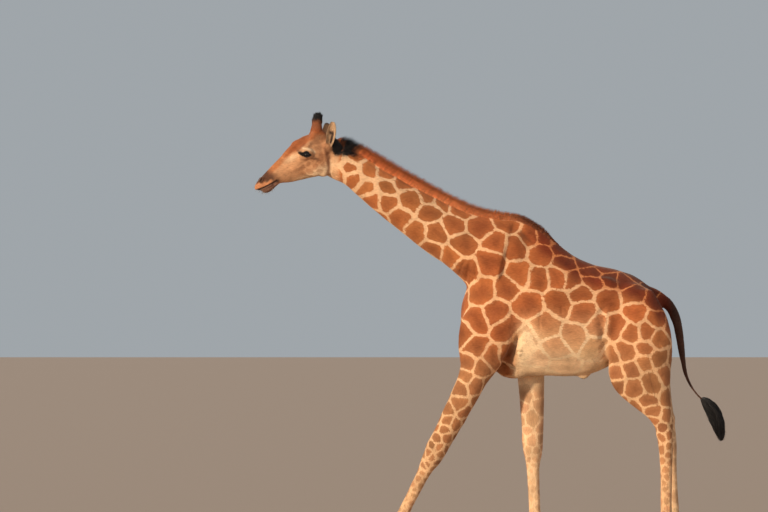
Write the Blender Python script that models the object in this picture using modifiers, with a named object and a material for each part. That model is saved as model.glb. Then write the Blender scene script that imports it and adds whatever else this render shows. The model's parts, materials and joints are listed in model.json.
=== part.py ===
"""A young southern giraffe, life size, stepping forward on its near foreleg.

Metres, +Z up. The giraffe faces -X, so its left side is -Y, and its hooves stand on Z = 0.
The flesh is modelled whole, from lofted tubes and muscles fused by a voxel remesh, and is
then parted into head, jaw, neck, trunk and legs with thin cuts. Eyes, ears, ossicones,
mane, tail and claws are pieces of their own, trimmed to stand just clear of the flesh.
"""

import math

import bmesh
import bpy
from mathutils import Euler, Matrix, Vector

# ---- Driving dimensions, in metres and degrees ----
LEFT, RIGHT = -1, 1
GAP = 0.0006  # clearance between touching pieces
RING = 28  # points round a lofted section
FLESH_VOXEL = 0.0075
FLESH_TRIANGLES = 4600

LIPS = Vector((-1.492, -0.084, 2.346))  # tip of the upper lip
HEAD_PITCH = 30.0  # the muzzle hangs this far below the level
HEAD_YAW = 9.0  # and turns this far towards the left

ELBOW_TO_KNEE = 0.585
ELBOW_TO_FETLOCK = 1.140
FORE_SPREAD = 0.150  # elbow to the midline
HIND_SPREAD = 0.140
HOOF_HEIGHT = 0.088
HOOF_LENGTH = 0.150
HOOF_WIDTH = 0.104
CLEFT = 0.007  # between a foot's two claws

EYE_RADIUS = 0.0245
OSSICONE_LENGTH = 0.160
EAR_LENGTH = 0.195
EAR_WIDTH = 0.074
EAR_WALL = 0.005
MANE_HEIGHT = 0.062
TAIL_TUFT_RADIUS = 0.047

# Forelegs: (elbow x, elbow z, degrees the leg reaches forward) for each side.
FORE_STRIDE = {LEFT: (-0.085, 1.232, 27.0), RIGHT: (0.243, 1.335, -2.0)}
# Hind legs: how far the hoof stands behind its place under the buttock.
HIND_STRIDE = {LEFT: 0.0, RIGHT: 0.085}

# ---- Sections ----
# Trunk, front to back: x, top z, bottom z, half width at four fifths, half and one fifth height.
TRUNK = (
    (-0.192, 1.605, 1.455, 0.040, 0.062, 0.045),
    (-0.166, 1.690, 1.365, 0.085, 0.122, 0.090),
    (-0.095, 1.900, 1.265, 0.105, 0.172, 0.125),
    (0.020, 2.110, 1.195, 0.092, 0.192, 0.140),
    (0.130, 2.178, 1.163, 0.074, 0.205, 0.155),
    (0.250, 2.140, 1.158, 0.088, 0.222, 0.178),
    (0.380, 2.045, 1.160, 0.118, 0.240, 0.200),
    (0.520, 1.936, 1.158, 0.150, 0.252, 0.206),
    (0.660, 1.872, 1.182, 0.160, 0.243, 0.190),
    (0.790, 1.846, 1.245, 0.152, 0.212, 0.155),
    (0.910, 1.803, 1.330, 0.135, 0.192, 0.130),
    (1.010, 1.730, 1.400, 0.100, 0.150, 0.100),
    (1.080, 1.630, 1.470, 0.050, 0.078, 0.050),
)
# Neck, base to poll: top x, top z, bottom x, bottom z, half widths as for the trunk.
NECK = (
    (0.140, 2.160, -0.020, 1.520, 0.105, 0.186, 0.140),
    (0.030, 2.172, -0.128, 1.700, 0.092, 0.166, 0.128),
    (-0.120, 2.200, -0.266, 1.844, 0.080, 0.138, 0.108),
    (-0.290, 2.277, -0.412, 1.946, 0.070, 0.117, 0.094),
    (-0.450, 2.362, -0.560, 2.062, 0.063, 0.103, 0.083),
    (-0.610, 2.450, -0.716, 2.188, 0.057, 0.092, 0.075),
    (-0.750, 2.533, -0.842, 2.295, 0.053, 0.084, 0.070),
    (-0.870, 2.601, -0.930, 2.376, 0.052, 0.079, 0.066),
    (-0.945, 2.636, -0.998, 2.408, 0.050, 0.075, 0.060),
    (-1.015, 2.650, -1.050, 2.438, 0.043, 0.066, 0.052),
)
# Head, lips to poll, in its own frame: along, top, bottom, half widths as above.
HEAD = (
    (0.000, 0.010, -0.010, 0.012, 0.018, 0.013),
    (0.014, 0.025, -0.018, 0.024, 0.034, 0.029),
    (0.050, 0.042, -0.025, 0.029, 0.041, 0.039),
    (0.100, 0.057, -0.036, 0.030, 0.041, 0.038),
    (0.160, 0.075, -0.050, 0.030, 0.041, 0.033),
    (0.220, 0.092, -0.078, 0.034, 0.046, 0.030),
    (0.280, 0.108, -0.097, 0.043, 0.056, 0.034),
    (0.340, 0.124, -0.115, 0.056, 0.070, 0.040),
    (0.390, 0.134, -0.132, 0.064, 0.078, 0.047),
    (0.440, 0.136, -0.146, 0.064, 0.078, 0.050),
    (0.490, 0.128, -0.146, 0.060, 0.073, 0.050),
    (0.540, 0.100, -0.128, 0.054, 0.068, 0.050),
    (0.585, 0.060, -0.100, 0.046, 0.062, 0.048),
    (0.612, 0.015, -0.070, 0.030, 0.042, 0.034),
)
# Lower lip and chin, in the head's frame.
CHIN = (
    (0.030, -0.012, -0.028, 0.010, 0.016, 0.012),
    (0.042, -0.010, -0.049, 0.024, 0.033, 0.024),
    (0.075, -0.020, -0.064, 0.025, 0.036, 0.026),
    (0.110, -0.026, -0.056, 0.024, 0.034, 0.025),
    (0.150, -0.030, -0.048, 0.020, 0.026, 0.018),
)
# Foreleg: distance below the elbow, reach ahead of and behind the bone line, half width.
FORELEG = (
    (-0.090, 0.128, 0.135, 0.080),
    (0.000, 0.116, 0.118, 0.073),
    (0.120, 0.088, 0.102, 0.065),
    (0.250, 0.077, 0.096, 0.059),
    (0.380, 0.070, 0.089, 0.053),
    (0.500, 0.064, 0.081, 0.048),
    (0.585, 0.067, 0.076, 0.051),
    (0.655, 0.058, 0.069, 0.045),
    (0.750, 0.045, 0.048, 0.035),
    (0.920, 0.038, 0.042, 0.031),
    (1.050, 0.038, 0.045, 0.032),
    (1.140, 0.043, 0.051, 0.038),
)
# Hind leg: bone line x, z, then reach ahead and behind, half width.
HINDLEG = (
    (0.940, 1.720, 0.100, 0.080, 0.030),
    (0.935, 1.600, 0.185, 0.148, 0.080),
    (0.925, 1.450, 0.195, 0.205, 0.100),
    (0.925, 1.310, 0.192, 0.222, 0.100),
    (0.950, 1.180, 0.208, 0.198, 0.088),
    (1.000, 1.055, 0.150, 0.144, 0.070),
    (1.048, 0.950, 0.088, 0.096, 0.054),
    (1.077, 0.870, 0.058, 0.070, 0.047),
    (1.090, 0.800, 0.052, 0.060, 0.046),
    (1.097, 0.720, 0.047, 0.054, 0.041),
    (1.100, 0.600, 0.040, 0.045, 0.034),
    (1.100, 0.420, 0.036, 0.041, 0.031),
    (1.098, 0.285, 0.037, 0.044, 0.032),
    (1.092, 0.195, 0.042, 0.050, 0.038),
)
# Pastern and coronet: back from the toe side of the fetlock, height, ahead, behind, half width.
FOOT = (
    (-0.024, 0.135, 0.037, 0.040, 0.036),
    (-0.041, 0.090, 0.047, 0.046, 0.042),
    (-0.050, 0.055, 0.050, 0.049, 0.043),
)
# Tail, root to tip: x, z, half thickness along the body's midline, half width.
TAIL = (
    (1.000, 1.700, 0.040, 0.036),
    (1.070, 1.664, 0.040, 0.034),
    (1.133, 1.600, 0.037, 0.031),
    (1.175, 1.515, 0.033, 0.027),
    (1.198, 1.400, 0.028, 0.023),
    (1.216, 1.270, 0.021, 0.018),
    (1.237, 1.165, 0.014, 0.013),
    (1.284, 1.075, 0.010, 0.010),
    (1.344, 1.010, 0.011, 0.011),
)
# Tail tuft: x, z, share of its radius.
TUFT = (
    (1.334, 1.022, 0.30),
    (1.372, 0.988, 0.80),
    (1.408, 0.938, 1.00),
    (1.436, 0.868, 0.95),
    (1.452, 0.800, 0.68),
    (1.462, 0.748, 0.26),
)
# Mane, poll to the back: x, z of the crest's skin, share of the mane's height.
MANE = (
    (-0.975, 2.628, 0.55),
    (-0.930, 2.626, 1.00),
    (-0.850, 2.588, 1.00),
    (-0.700, 2.502, 1.00),
    (-0.520, 2.400, 0.95),
    (-0.350, 2.310, 0.90),
    (-0.200, 2.236, 0.85),
    (-0.060, 2.186, 0.80),
    (0.080, 2.170, 0.62),
    (0.200, 2.155, 0.45),
    (0.330, 2.085, 0.32),
    (0.430, 2.008, 0.18),
)


def clear_scene():
    for obj in list(bpy.data.objects):
        bpy.data.objects.remove(obj)


def spaced(rows, steps):
    """The rows of numbers with steps - 1 more between each two, on a Catmull-Rom curve."""
    found = []
    for i in range(len(rows) - 1):
        before, after = rows[max(i - 1, 0)], rows[min(i + 2, len(rows) - 1)]
        here, there = rows[i], rows[i + 1]
        for step in range(steps):
            t = step / steps
            found.append(
                tuple(
                    0.5
                    * (
                        2 * b
                        + (c - a) * t
                        + (2 * a - 5 * b + 4 * c - d) * t**2
                        + (3 * b - a - 3 * c + d) * t**3
                    )
                    for a, b, c, d in zip(before, here, there, after)
                )
            )
    found.append(tuple(rows[-1]))
    return found


def section(centre, up, side, above, below, widths):
    """A closed ring whose half widths are given at four fifths, half and one fifth of its height."""
    height = above + below
    levels = (above, above - 0.2 * height, above - 0.5 * height, above - 0.8 * height, -below)
    half = (0.0, *widths, 0.0)
    outline = list(zip(half, levels)) + [(-w, u) for w, u in list(zip(half, levels))[3:0:-1]]
    ring = []
    count = len(outline)
    for i in range(RING):
        at = i * count / RING
        k, t = int(at), at - int(at)
        a, b, c, d = (outline[(k + j) % count] for j in (-1, 0, 1, 2))
        w, u = (
            0.5 * (2 * q + (r - p) * t + (2 * p - 5 * q + 4 * r - s) * t**2 + (3 * q - p - 3 * r + s) * t**3)
            for p, q, r, s in zip(a, b, c, d)
        )
        ring.append(centre + side * w + up * u)
    return ring


def loft(bm, rings):
    """A closed tube through rings of points, added to bm."""
    loops = [[bm.verts.new(point) for point in ring] for ring in rings]
    count = len(loops[0])
    faces = [
        bm.faces.new((one[i], one[(i + 1) % count], two[(i + 1) % count], two[i]))
        for one, two in zip(loops, loops[1:])
        for i in range(count)
    ]
    faces += [bm.faces.new(loops[0][::-1]), bm.faces.new(loops[-1])]
    bmesh.ops.recalc_face_normals(bm, faces=faces)


def ball(bm, centre, radii, turn=(0, 0, 0), frame=None):
    """An ellipsoid, turned by Euler degrees about its centre, in the body's frame or another."""
    matrix = (
        (frame or Matrix())
        @ Matrix.Translation(centre)
        @ Euler([math.radians(a) for a in turn]).to_matrix().to_4x4()
        @ Matrix.Diagonal((*radii, 1))
    )
    bmesh.ops.create_uvsphere(bm, u_segments=24, v_segments=16, radius=1, matrix=matrix)


def direction_of(points, i):
    return (points[min(i + 1, len(points) - 1)] - points[max(i - 1, 0)]).normalized()


def limb_rings(rows, steps=4):
    """Rings for (x, y, z, ahead, behind, half width) rows of a limb that hangs in a lengthwise plane."""
    rows = spaced(rows, steps)
    centres = [Vector(row[:3]) for row in rows]
    rings = []
    for i, row in enumerate(rows):
        side = Vector((0, 1, 0))
        ahead = side.cross(direction_of(centres, i)).normalized()
        if ahead.x > 0:
            ahead = -ahead
        ahead_size, behind_size, half = row[3:]
        rings.append(
            section(centres[i], ahead, side, ahead_size, behind_size, (0.8 * half, half, 0.8 * half))
        )
    return rings


def new_object(name, bm, collection):
    mesh = bpy.data.meshes.new(name)
    bm.to_mesh(mesh)
    bm.free()
    obj = bpy.data.objects.new(name, mesh)
    collection.objects.link(obj)
    return obj


def freeze(obj):
    """Replaces the object's mesh by what its modifiers make of it."""
    graph = bpy.context.evaluated_depsgraph_get()
    graph.update()
    mesh = bpy.data.meshes.new_from_object(obj.evaluated_get(graph))
    obj.modifiers.clear()
    obj.data = mesh
    return obj


def boolean(obj, other, operation):
    modifier = obj.modifiers.new(operation.title(), "BOOLEAN")
    modifier.operation = operation
    modifier.object = other
    modifier.solver = "EXACT"


def head_frame():
    """The head's own frame, placed in the body: +X along it from lips to poll, +Z up, +Y right."""
    pitch = Matrix.Rotation(math.radians(-HEAD_PITCH), 4, "Y")
    yaw = Matrix.Rotation(math.radians(HEAD_YAW), 4, "Z")
    return Matrix.Translation(LIPS) @ yaw @ pitch


def head_rings(rows, frame, steps=3):
    rings = []
    for along, top, bottom, *widths in spaced(rows, steps):
        ring = section(Vector((along, 0, 0)), Vector((0, 0, 1)), Vector((0, 1, 0)), top, -bottom, widths)
        rings.append([frame @ point for point in ring])
    return rings


# ---- The flesh, whole ----
def add_head(bm, frame):
    loft(bm, head_rings(HEAD, frame))
    loft(bm, head_rings(CHIN, frame))
    ball(bm, (0.385, 0, 0.118), (0.050, 0.034, 0.022), (0, 8, 0), frame)  # median bump
    for side in (LEFT, RIGHT):
        ball(bm, (0.383, side * 0.074, 0.034), (0.050, 0.029, 0.037), (0, 0, side * 8), frame)  # orbit
        ball(bm, (0.395, side * 0.064, 0.072), (0.058, 0.026, 0.018), (0, -6, side * 6), frame)  # brow
        ball(bm, (0.290, side * 0.046, -0.006), (0.100, 0.014, 0.024), (0, 6, side * 8), frame)  # cheek ridge
        ball(bm, (0.398, side * 0.036, -0.062), (0.086, 0.029, 0.066), (0, 18, 0), frame)  # masseter
        ball(bm, (0.436, side * 0.034, -0.120), (0.044, 0.022, 0.036), (0, 20, 0), frame)  # jaw angle
        ball(bm, (0.498, side * 0.038, 0.108), (0.047, 0.030, 0.060), (0, 28, 0), frame)  # ossicone base
        ball(bm, (0.520, side * 0.060, 0.004), (0.032, 0.026, 0.042), (0, 30, 0), frame)  # ear base
        ball(bm, (0.058, side * 0.027, 0.028), (0.036, 0.013, 0.016), (0, -24, side * 12), frame)  # nostril
        ball(bm, (0.060, side * 0.026, -0.014), (0.052, 0.016, 0.015), (0, 14, side * 14), frame)  # upper lip


def add_neck_and_trunk(bm):
    rings = []
    for top_x, top_z, bottom_x, bottom_z, *widths in spaced(NECK, 3):
        top, bottom = Vector((top_x, 0, top_z)), Vector((bottom_x, 0, bottom_z))
        half = (top - bottom).length / 2
        up = (top - bottom).normalized()
        rings.append(section((top + bottom) / 2, up, Vector((0, 1, 0)), half, half, widths))
    loft(bm, rings)
    rings = []
    for x, top, bottom, *widths in spaced(TRUNK, 3):
        half = (top - bottom) / 2
        centre = Vector((x, 0, (top + bottom) / 2))
        rings.append(section(centre, Vector((0, 0, 1)), Vector((0, 1, 0)), half, half, widths))
    loft(bm, rings)
    ball(bm, (0.150, 0, 1.205), (0.120, 0.075, 0.060))  # brisket
    ball(bm, (0.592, 0, 1.168), (0.045, 0.016, 0.030), (0, -12, 0))  # sheath
    for side in (LEFT, RIGHT):
        ball(bm, (0.115, side * 0.082, 1.870), (0.105, 0.062, 0.230), (side * 12, 14, 0))  # shoulder blade
        ball(bm, (0.420, side * 0.140, 1.500), (0.300, 0.112, 0.240), (0, 6, 0))  # ribs
        ball(bm, (0.900, side * 0.100, 1.620), (0.160, 0.080, 0.135), (0, 20, 0))  # croup
        ball(bm, (0.735, side * 0.120, 1.730), (0.100, 0.046, 0.060), (0, 20, 0))  # point of hip
        ball(bm, (-0.060, side * 0.040, 1.900), (0.200, 0.075, 0.130), (0, 60, 0))  # neck's root


def foreleg_rows(side):
    """Rows of the foreleg down its bone line to the coronet."""
    elbow_x, elbow_z, reach = FORE_STRIDE[side]
    lean = Vector((-math.sin(math.radians(reach)), 0, -math.cos(math.radians(reach))))
    elbow = Vector((elbow_x, side * FORE_SPREAD, elbow_z))
    rows = []
    for down, ahead, behind, half in FORELEG:
        point = elbow + lean * down
        point.y -= side * 0.020 * max(down, 0) / ELBOW_TO_FETLOCK
        rows.append((*point, ahead, behind, half))
    fetlock = Vector(rows[-1][:3])
    return rows + foot_rows(fetlock)


def foot_rows(fetlock):
    return [(fetlock.x + back, fetlock.y, z, ahead, behind, half) for back, z, ahead, behind, half in FOOT]


def hindleg_rows(side):
    rows = []
    hip_z = HINDLEG[0][1]
    for x, z, ahead, behind, half in HINDLEG:
        lag = HIND_STRIDE[side] * ((hip_z - z) / hip_z) ** 1.5
        rows.append((x + lag, side * HIND_SPREAD, z, ahead, behind, half))
    return rows + foot_rows(Vector(rows[-1][:3]))


def add_foreleg(bm, side):
    rows = foreleg_rows(side)
    loft(bm, limb_rings(rows))
    elbow = Vector((FORE_STRIDE[side][0], side * FORE_SPREAD, FORE_STRIDE[side][1]))
    shoulder = Vector((-0.095, side * 0.125, 1.555))
    # Upper arm, from the point of the shoulder back to the elbow, and the triceps behind it.
    arm = [
        (*shoulder.lerp(elbow, t), ahead, behind, half)
        for t, ahead, behind, half in (
            (-0.10, 0.060, 0.110, 0.050),
            (0.08, 0.098, 0.150, 0.074),
            (0.5, 0.125, 0.170, 0.088),
            (1.0, 0.112, 0.130, 0.080),
            (1.25, 0.080, 0.085, 0.060),
        )
    ]
    loft(bm, limb_rings(arm))
    blade = Vector((0.130, side * 0.120, 1.800))
    middle = elbow.lerp(blade, 0.42)
    lean = math.degrees(math.atan2(blade.x - elbow.x, blade.z - elbow.z))
    ball(bm, middle + Vector((0.045, 0, 0)), (0.115, 0.085, 0.270), (0, lean, 0))  # triceps
    ball(bm, elbow + Vector((0.085, 0, 0.015)), (0.045, 0.032, 0.055), (0, 20, 0))  # elbow point
    knee = Vector(rows[6][:3])
    ball(bm, knee + Vector((-0.012, 0, 0.005)), (0.056, 0.052, 0.062), (0, FORE_STRIDE[side][2], 0))


def add_hindleg(bm, side):
    rows = hindleg_rows(side)
    loft(bm, limb_rings(rows))
    stifle_z, hock_z = 1.215, 0.868
    stifle = next(row for row in rows if row[2] < stifle_z)
    hock = next(row for row in rows if row[2] < hock_z + 0.01)
    ball(bm, (stifle[0] - 0.150, stifle[1], stifle_z), (0.062, 0.062, 0.095), (0, 16, 0))  # stifle
    ball(bm, (stifle[0] - 0.060, side * 0.155, 1.420), (0.165, 0.082, 0.235), (0, 18, 0))  # thigh
    ball(bm, (stifle[0] + 0.105, side * 0.135, 1.400), (0.085, 0.072, 0.235), (0, -6, 0))  # hamstring
    ball(bm, (hock[0] + 0.052, hock[1], hock_z + 0.004), (0.022, 0.024, 0.052), (0, 6, 0))  # point of hock
    ball(bm, (hock[0] + 0.008, hock[1], hock_z - 0.060), (0.052, 0.046, 0.060))  # hock joint


def vertex_group(obj, name, weigh):
    group = obj.vertex_groups.new(name=name)
    for vertex in obj.data.vertices:
        group.add([vertex.index], weigh(vertex.co), "REPLACE")


def make_flesh(helpers):
    bm = bmesh.new()
    add_head(bm, head_frame())
    add_neck_and_trunk(bm)
    for side in (LEFT, RIGHT):
        add_foreleg(bm, side)
        add_hindleg(bm, side)
    flesh = new_object("flesh", bm, helpers)
    remesh = flesh.modifiers.new("Fuse", "REMESH")
    remesh.mode = "VOXEL"
    remesh.voxel_size = FLESH_VOXEL
    freeze(flesh)

    def softness(co):
        """Full on the trunk and thighs, a fifth on the head, and a third down the legs."""
        if co.x < -1.06:
            return 0.18
        if co.x < -0.80:
            return 0.18 + (co.x + 1.06) / 0.26 * 0.82
        return max(0.22, min(1.0, (co.z - 0.90) / 0.30))

    vertex_group(flesh, "soft", softness)
    smooth = flesh.modifiers.new("Soften", "SMOOTH")
    smooth.factor = 0.6
    smooth.iterations = 44
    smooth.vertex_group = "soft"
    freeze(flesh)
    flesh.vertex_groups.clear()
    vertex_group(flesh, "coarse", lambda co: 0.985 if co.x < -1.0 else 1.0)
    thin = flesh.modifiers.new("Facet", "DECIMATE")
    thin.vertex_group = "coarse"
    thin.vertex_group_factor = 1.0
    thin.ratio = FLESH_TRIANGLES / (2 * len(flesh.data.polygons))
    thin.use_collapse_triangulate = True
    return freeze(flesh)


# ---- Cutting the flesh into nodes ----
def prism(name, outline, low, high, axis, frame, helpers):
    """A straight prism on a convex outline of (u, v) points, from low to high along an axis.

    With axis "X" the outline is (y, z), and with axis "Y" it is (x, z).
    """
    bm = bmesh.new()
    rings = []
    for level in (low, high):
        points = [(level, u, v) if axis == "X" else (u, level, v) for u, v in outline]
        rings.append([frame @ Vector(point) for point in points])
    loft(bm, rings)
    return new_object(name, bm, helpers)


def grown(obj, by, helpers):
    """A copy of a helper with its surface moved out."""
    copy = bpy.data.objects.new(obj.name + "_grown", obj.data.copy())
    helpers.objects.link(copy)
    displace = copy.modifiers.new("Grow", "DISPLACE")
    displace.strength = by
    displace.mid_level = 0
    return freeze(copy)


def cells(helpers):
    """The prisms that hold each flesh node apart from the trunk, in the order they are taken."""
    world, head = Matrix(), head_frame()
    wide = 0.6
    found = {}
    # The jaw lies below the line of the mouth, which drops from the lips to the jaw's angle.
    mouth = [(-0.05, -0.0115), (0.055, -0.017), (0.165, -0.024), (0.430, -0.085), (0.540, -0.125)]
    found["lower_jaw"] = prism(
        "jaw_cell", mouth + [(0.50, -0.40), (-0.05, -0.40)], -wide, wide, "Y", head, helpers
    )
    face = [(-0.3, 0.6), (-0.3, -0.4), (0.50, -0.40), (0.545, -0.10), (0.600, 0.12), (0.600, 0.6)]
    found["head"] = prism("head_cell", face, -wide, wide, "Y", head, helpers)
    throat = [(-1.6, 2.9), (-1.6, 1.9), (-0.145, 1.690), (0.020, 2.300), (0.020, 2.9)]
    found["neck"] = prism("neck_cell", throat, -wide, wide, "Y", world, helpers)
    for side, name in ((LEFT, "left"), (RIGHT, "right")):
        elbow_x = FORE_STRIDE[side][0]
        arm = [(side * 0.012, 1.128), (side * wide, 1.128 + 0.45), (side * wide, -0.1), (side * 0.012, -0.1)]
        front, back = (-1.2, elbow_x + 0.200) if side == LEFT else (elbow_x - 0.165, elbow_x + 0.165)
        found["foreleg_" + name] = prism(f"fore_{name}_cell", arm, front, back, "X", world, helpers)
        thigh = [(side * 0.012, 1.150), (side * wide, 1.150 + 0.95), (side * wide, -0.1), (side * 0.012, -0.1)]
        found["hindleg_" + name] = prism(f"hind_{name}_cell", thigh, 0.690, 1.6, "X", world, helpers)
    return found


def part_flesh(flesh, model, helpers):
    """Parts the flesh into its nodes. Each cell takes its share of what the earlier ones left."""
    rest = flesh
    nodes = {}
    for name, cell in cells(helpers).items():
        piece = bpy.data.objects.new(name, rest.data.copy())
        model.objects.link(piece)
        boolean(piece, cell, "INTERSECT")
        nodes[name] = freeze(piece)
        boolean(rest, grown(cell, GAP, helpers), "DIFFERENCE")
        freeze(rest)
    helpers.objects.unlink(rest)
    model.objects.link(rest)
    rest.name = "trunk"
    nodes["trunk"] = rest
    return nodes


def keep_largest(obj):
    """Drops crumbs that a cut leaves beside the main body."""
    bm = bmesh.new()
    bm.from_mesh(obj.data)
    left = set(bm.verts)
    islands = []
    while left:
        stack, island = [left.pop()], []
        while stack:
            vertex = stack.pop()
            island.append(vertex)
            for edge in vertex.link_edges:
                other = edge.other_vert(vertex)
                if other in left:
                    left.remove(other)
                    stack.append(other)
        islands.append(island)
    for island in sorted(islands, key=len)[:-1]:
        bmesh.ops.delete(bm, geom=island, context="VERTS")
    bm.to_mesh(obj.data)
    bm.free()


# ---- Pieces of their own ----
def trim(obj, others, helpers):
    """Cuts the object back to stand just clear of the others."""
    for other in others:
        boolean(obj, grown(other, GAP, helpers), "DIFFERENCE")
        freeze(obj)
    keep_largest(obj)


def eye_place(side):
    return head_frame() @ Vector((0.3835, side * 0.0835, 0.0305))


def make_eye(name, side, model):
    bm = bmesh.new()
    bmesh.ops.create_uvsphere(bm, u_segments=14, v_segments=8, radius=EYE_RADIUS)
    eye = new_object(name, bm, model)
    eye.location = eye_place(side)
    return eye


def eye_socket(side, helpers):
    bm = bmesh.new()
    bmesh.ops.create_uvsphere(bm, u_segments=14, v_segments=8, radius=EYE_RADIUS + 2 * GAP)
    bmesh.ops.translate(bm, verts=bm.verts, vec=eye_place(side))
    return new_object(f"socket_{side}", bm, helpers)


def make_ossicone(name, side, model):
    """A blunt horn under skin, wider at its foot and at its haired tip."""
    frame = head_frame()
    foot = Vector((0.492, side * 0.040, 0.090))
    tip = foot + Vector((0.070, side * 0.010, 0.122)).normalized() * OSSICONE_LENGTH
    rings = []
    for t, radius in spaced(((0, 0.032), (0.35, 0.024), (0.65, 0.0185), (0.85, 0.0205), (1.0, 0.009)), 2):
        centre = foot.lerp(tip, t)
        rings.append(
            [
                frame @ (centre + radius * Vector((math.cos(a), math.sin(a), -0.35 * math.cos(a))))
                for a in (i * math.tau / 12 for i in range(12))
            ]
        )
    bm = bmesh.new()
    loft(bm, rings)
    return new_object(name, bm, model)


def make_ear(name, side, model):
    """A cupped leaf, open outwards, standing up and back from behind the eye."""
    frame = head_frame()
    root = Vector((0.524, side * 0.076, -0.012))
    along = Vector((0.56, side * 0.32, 0.76)).normalized()
    out = Vector((-0.28, side * 0.90, -0.25))
    out = (out - along * out.dot(along)).normalized()
    across = along.cross(out)
    bm = bmesh.new()
    lengths, widths = 8, 6
    grid = []
    for i in range(lengths + 1):
        t = i / lengths
        leaf = EAR_WIDTH / 2 * (0.30 + 0.70 * math.sin(math.pi * min(1, 0.10 + 0.95 * t) ** 0.9))
        leaf *= 1 - 0.82 * max(0, t - 0.62) ** 1.5 / 0.38**1.5
        cup = math.radians(150 * (1 - t) + 70 * t)
        row = []
        for j in range(widths + 1):
            turn = (j / widths - 0.5) * cup
            radius = leaf / math.sin(cup / 2)
            point = root + along * EAR_LENGTH * t
            point += across * radius * math.sin(turn) + out * radius * (math.cos(cup / 2) - math.cos(turn))
            row.append(bm.verts.new(frame @ point))
        grid.append(row)
    for i in range(lengths):
        for j in range(widths):
            bm.faces.new((grid[i][j], grid[i][j + 1], grid[i + 1][j + 1], grid[i + 1][j]))
    ear = new_object(name, bm, model)
    wall = ear.modifiers.new("Wall", "SOLIDIFY")
    wall.thickness = EAR_WALL
    wall.offset = 0
    return freeze(ear)


def make_mane(model):
    """The brush of the mane, standing on the crest from the poll to the back."""
    rows = spaced(MANE, 2)
    skin = [Vector((x, 0, z)) for x, z, share in rows]
    rings = []
    for i, (x, z, share) in enumerate(rows):
        up = direction_of(skin, i).cross(Vector((0, 1, 0)))
        up = up if up.z > 0 else -up
        height = MANE_HEIGHT * share
        foot, tip = 0.017, 0.007
        rings.append(
            [
                skin[i] + up * u + Vector((0, v, 0))
                for u, v in (
                    (-0.030, -foot),
                    (0.3 * height, -foot),
                    (0.8 * height, -tip),
                    (height, 0),
                    (0.8 * height, tip),
                    (0.3 * height, foot),
                    (-0.030, foot),
                )
            ]
        )
    bm = bmesh.new()
    loft(bm, rings)
    return new_object("mane", bm, model)


def make_tail(model):
    bm = bmesh.new()
    rings = []
    rows = spaced([(x, 0, z, half, half, width) for x, z, half, width in TAIL], 2)
    centres = [Vector(row[:3]) for row in rows]
    for i, row in enumerate(rows):
        across = direction_of(centres, i).cross(Vector((0, 1, 0)))
        rings.append(
            [
                centres[i] + across * row[3] * math.cos(a) + Vector((0, row[5] * math.sin(a), 0))
                for a in (k * math.tau / 9 for k in range(9))
            ]
        )
    loft(bm, rings)
    return new_object("tail", bm, model)


def make_tuft(model):
    bm = bmesh.new()
    rows = spaced(TUFT, 2)
    centres = [Vector((x, 0, z)) for x, z, share in rows]
    rings = []
    for i, (x, z, share) in enumerate(rows):
        across = direction_of(centres, i).cross(Vector((0, 1, 0)))
        radius = TAIL_TUFT_RADIUS * share
        rings.append(
            [
                centres[i] + across * radius * math.cos(a) + Vector((0, 0.8 * radius * math.sin(a), 0))
                for a in (k * math.tau / 9 for k in range(9))
            ]
        )
    loft(bm, rings)
    return new_object("tail_tuft", bm, model)


def make_claw(name, foot, side, model):
    """One claw of a cloven hoof: half of a sloping block, flat where it stands and at the cleft."""
    bm = bmesh.new()
    bmesh.ops.create_cone(
        bm, cap_ends=True, segments=24, radius1=0.5, radius2=0.40, depth=HOOF_HEIGHT - 2 * GAP
    )
    slope = 0.30
    for vertex in bm.verts:
        height = vertex.co.z + HOOF_HEIGHT / 2
        pointed = 1 - 0.30 * max(0, -2 * vertex.co.x) ** 2
        vertex.co.x = vertex.co.x * HOOF_LENGTH + slope * (height - HOOF_HEIGHT)
        vertex.co.y *= HOOF_WIDTH * pointed
        vertex.co.z = max(height, 0.0)
    floor = min(vertex.co.z for vertex in bm.verts)
    bmesh.ops.translate(bm, verts=bm.verts, vec=(foot.x - 0.008, foot.y, -floor))
    cut = bmesh.ops.bisect_plane(
        bm,
        geom=bm.verts[:] + bm.edges[:] + bm.faces[:],
        plane_co=(0, foot.y + side * CLEFT / 2, 0),
        plane_no=(0, -side, 0),
        clear_outer=True,
    )
    edges = [item for item in cut["geom_cut"] if isinstance(item, bmesh.types.BMEdge)]
    bmesh.ops.contextual_create(bm, geom=edges)
    bmesh.ops.recalc_face_normals(bm, faces=bm.faces)
    return new_object(name, bm, model)


def cut_feet(nodes, helpers):
    """Ends each leg at its coronet, just above the claws."""
    box = [(-2, HOOF_HEIGHT), (2, HOOF_HEIGHT), (2, -0.2), (-2, -0.2)]
    below = prism("below_coronet", box, -1, 1, "Y", Matrix(), helpers)
    for name, node in nodes.items():
        if "leg" in name:
            boolean(node, below, "DIFFERENCE")
            freeze(node)


def material(name, colour, roughness, metallic=0.0):
    made = bpy.data.materials.new(name)
    made.use_nodes = True
    shader = made.node_tree.nodes["Principled BSDF"]
    shader.inputs["Base Color"].default_value = (*colour, 1)
    shader.inputs["Roughness"].default_value = roughness
    shader.inputs["Metallic"].default_value = metallic
    return made


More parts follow.
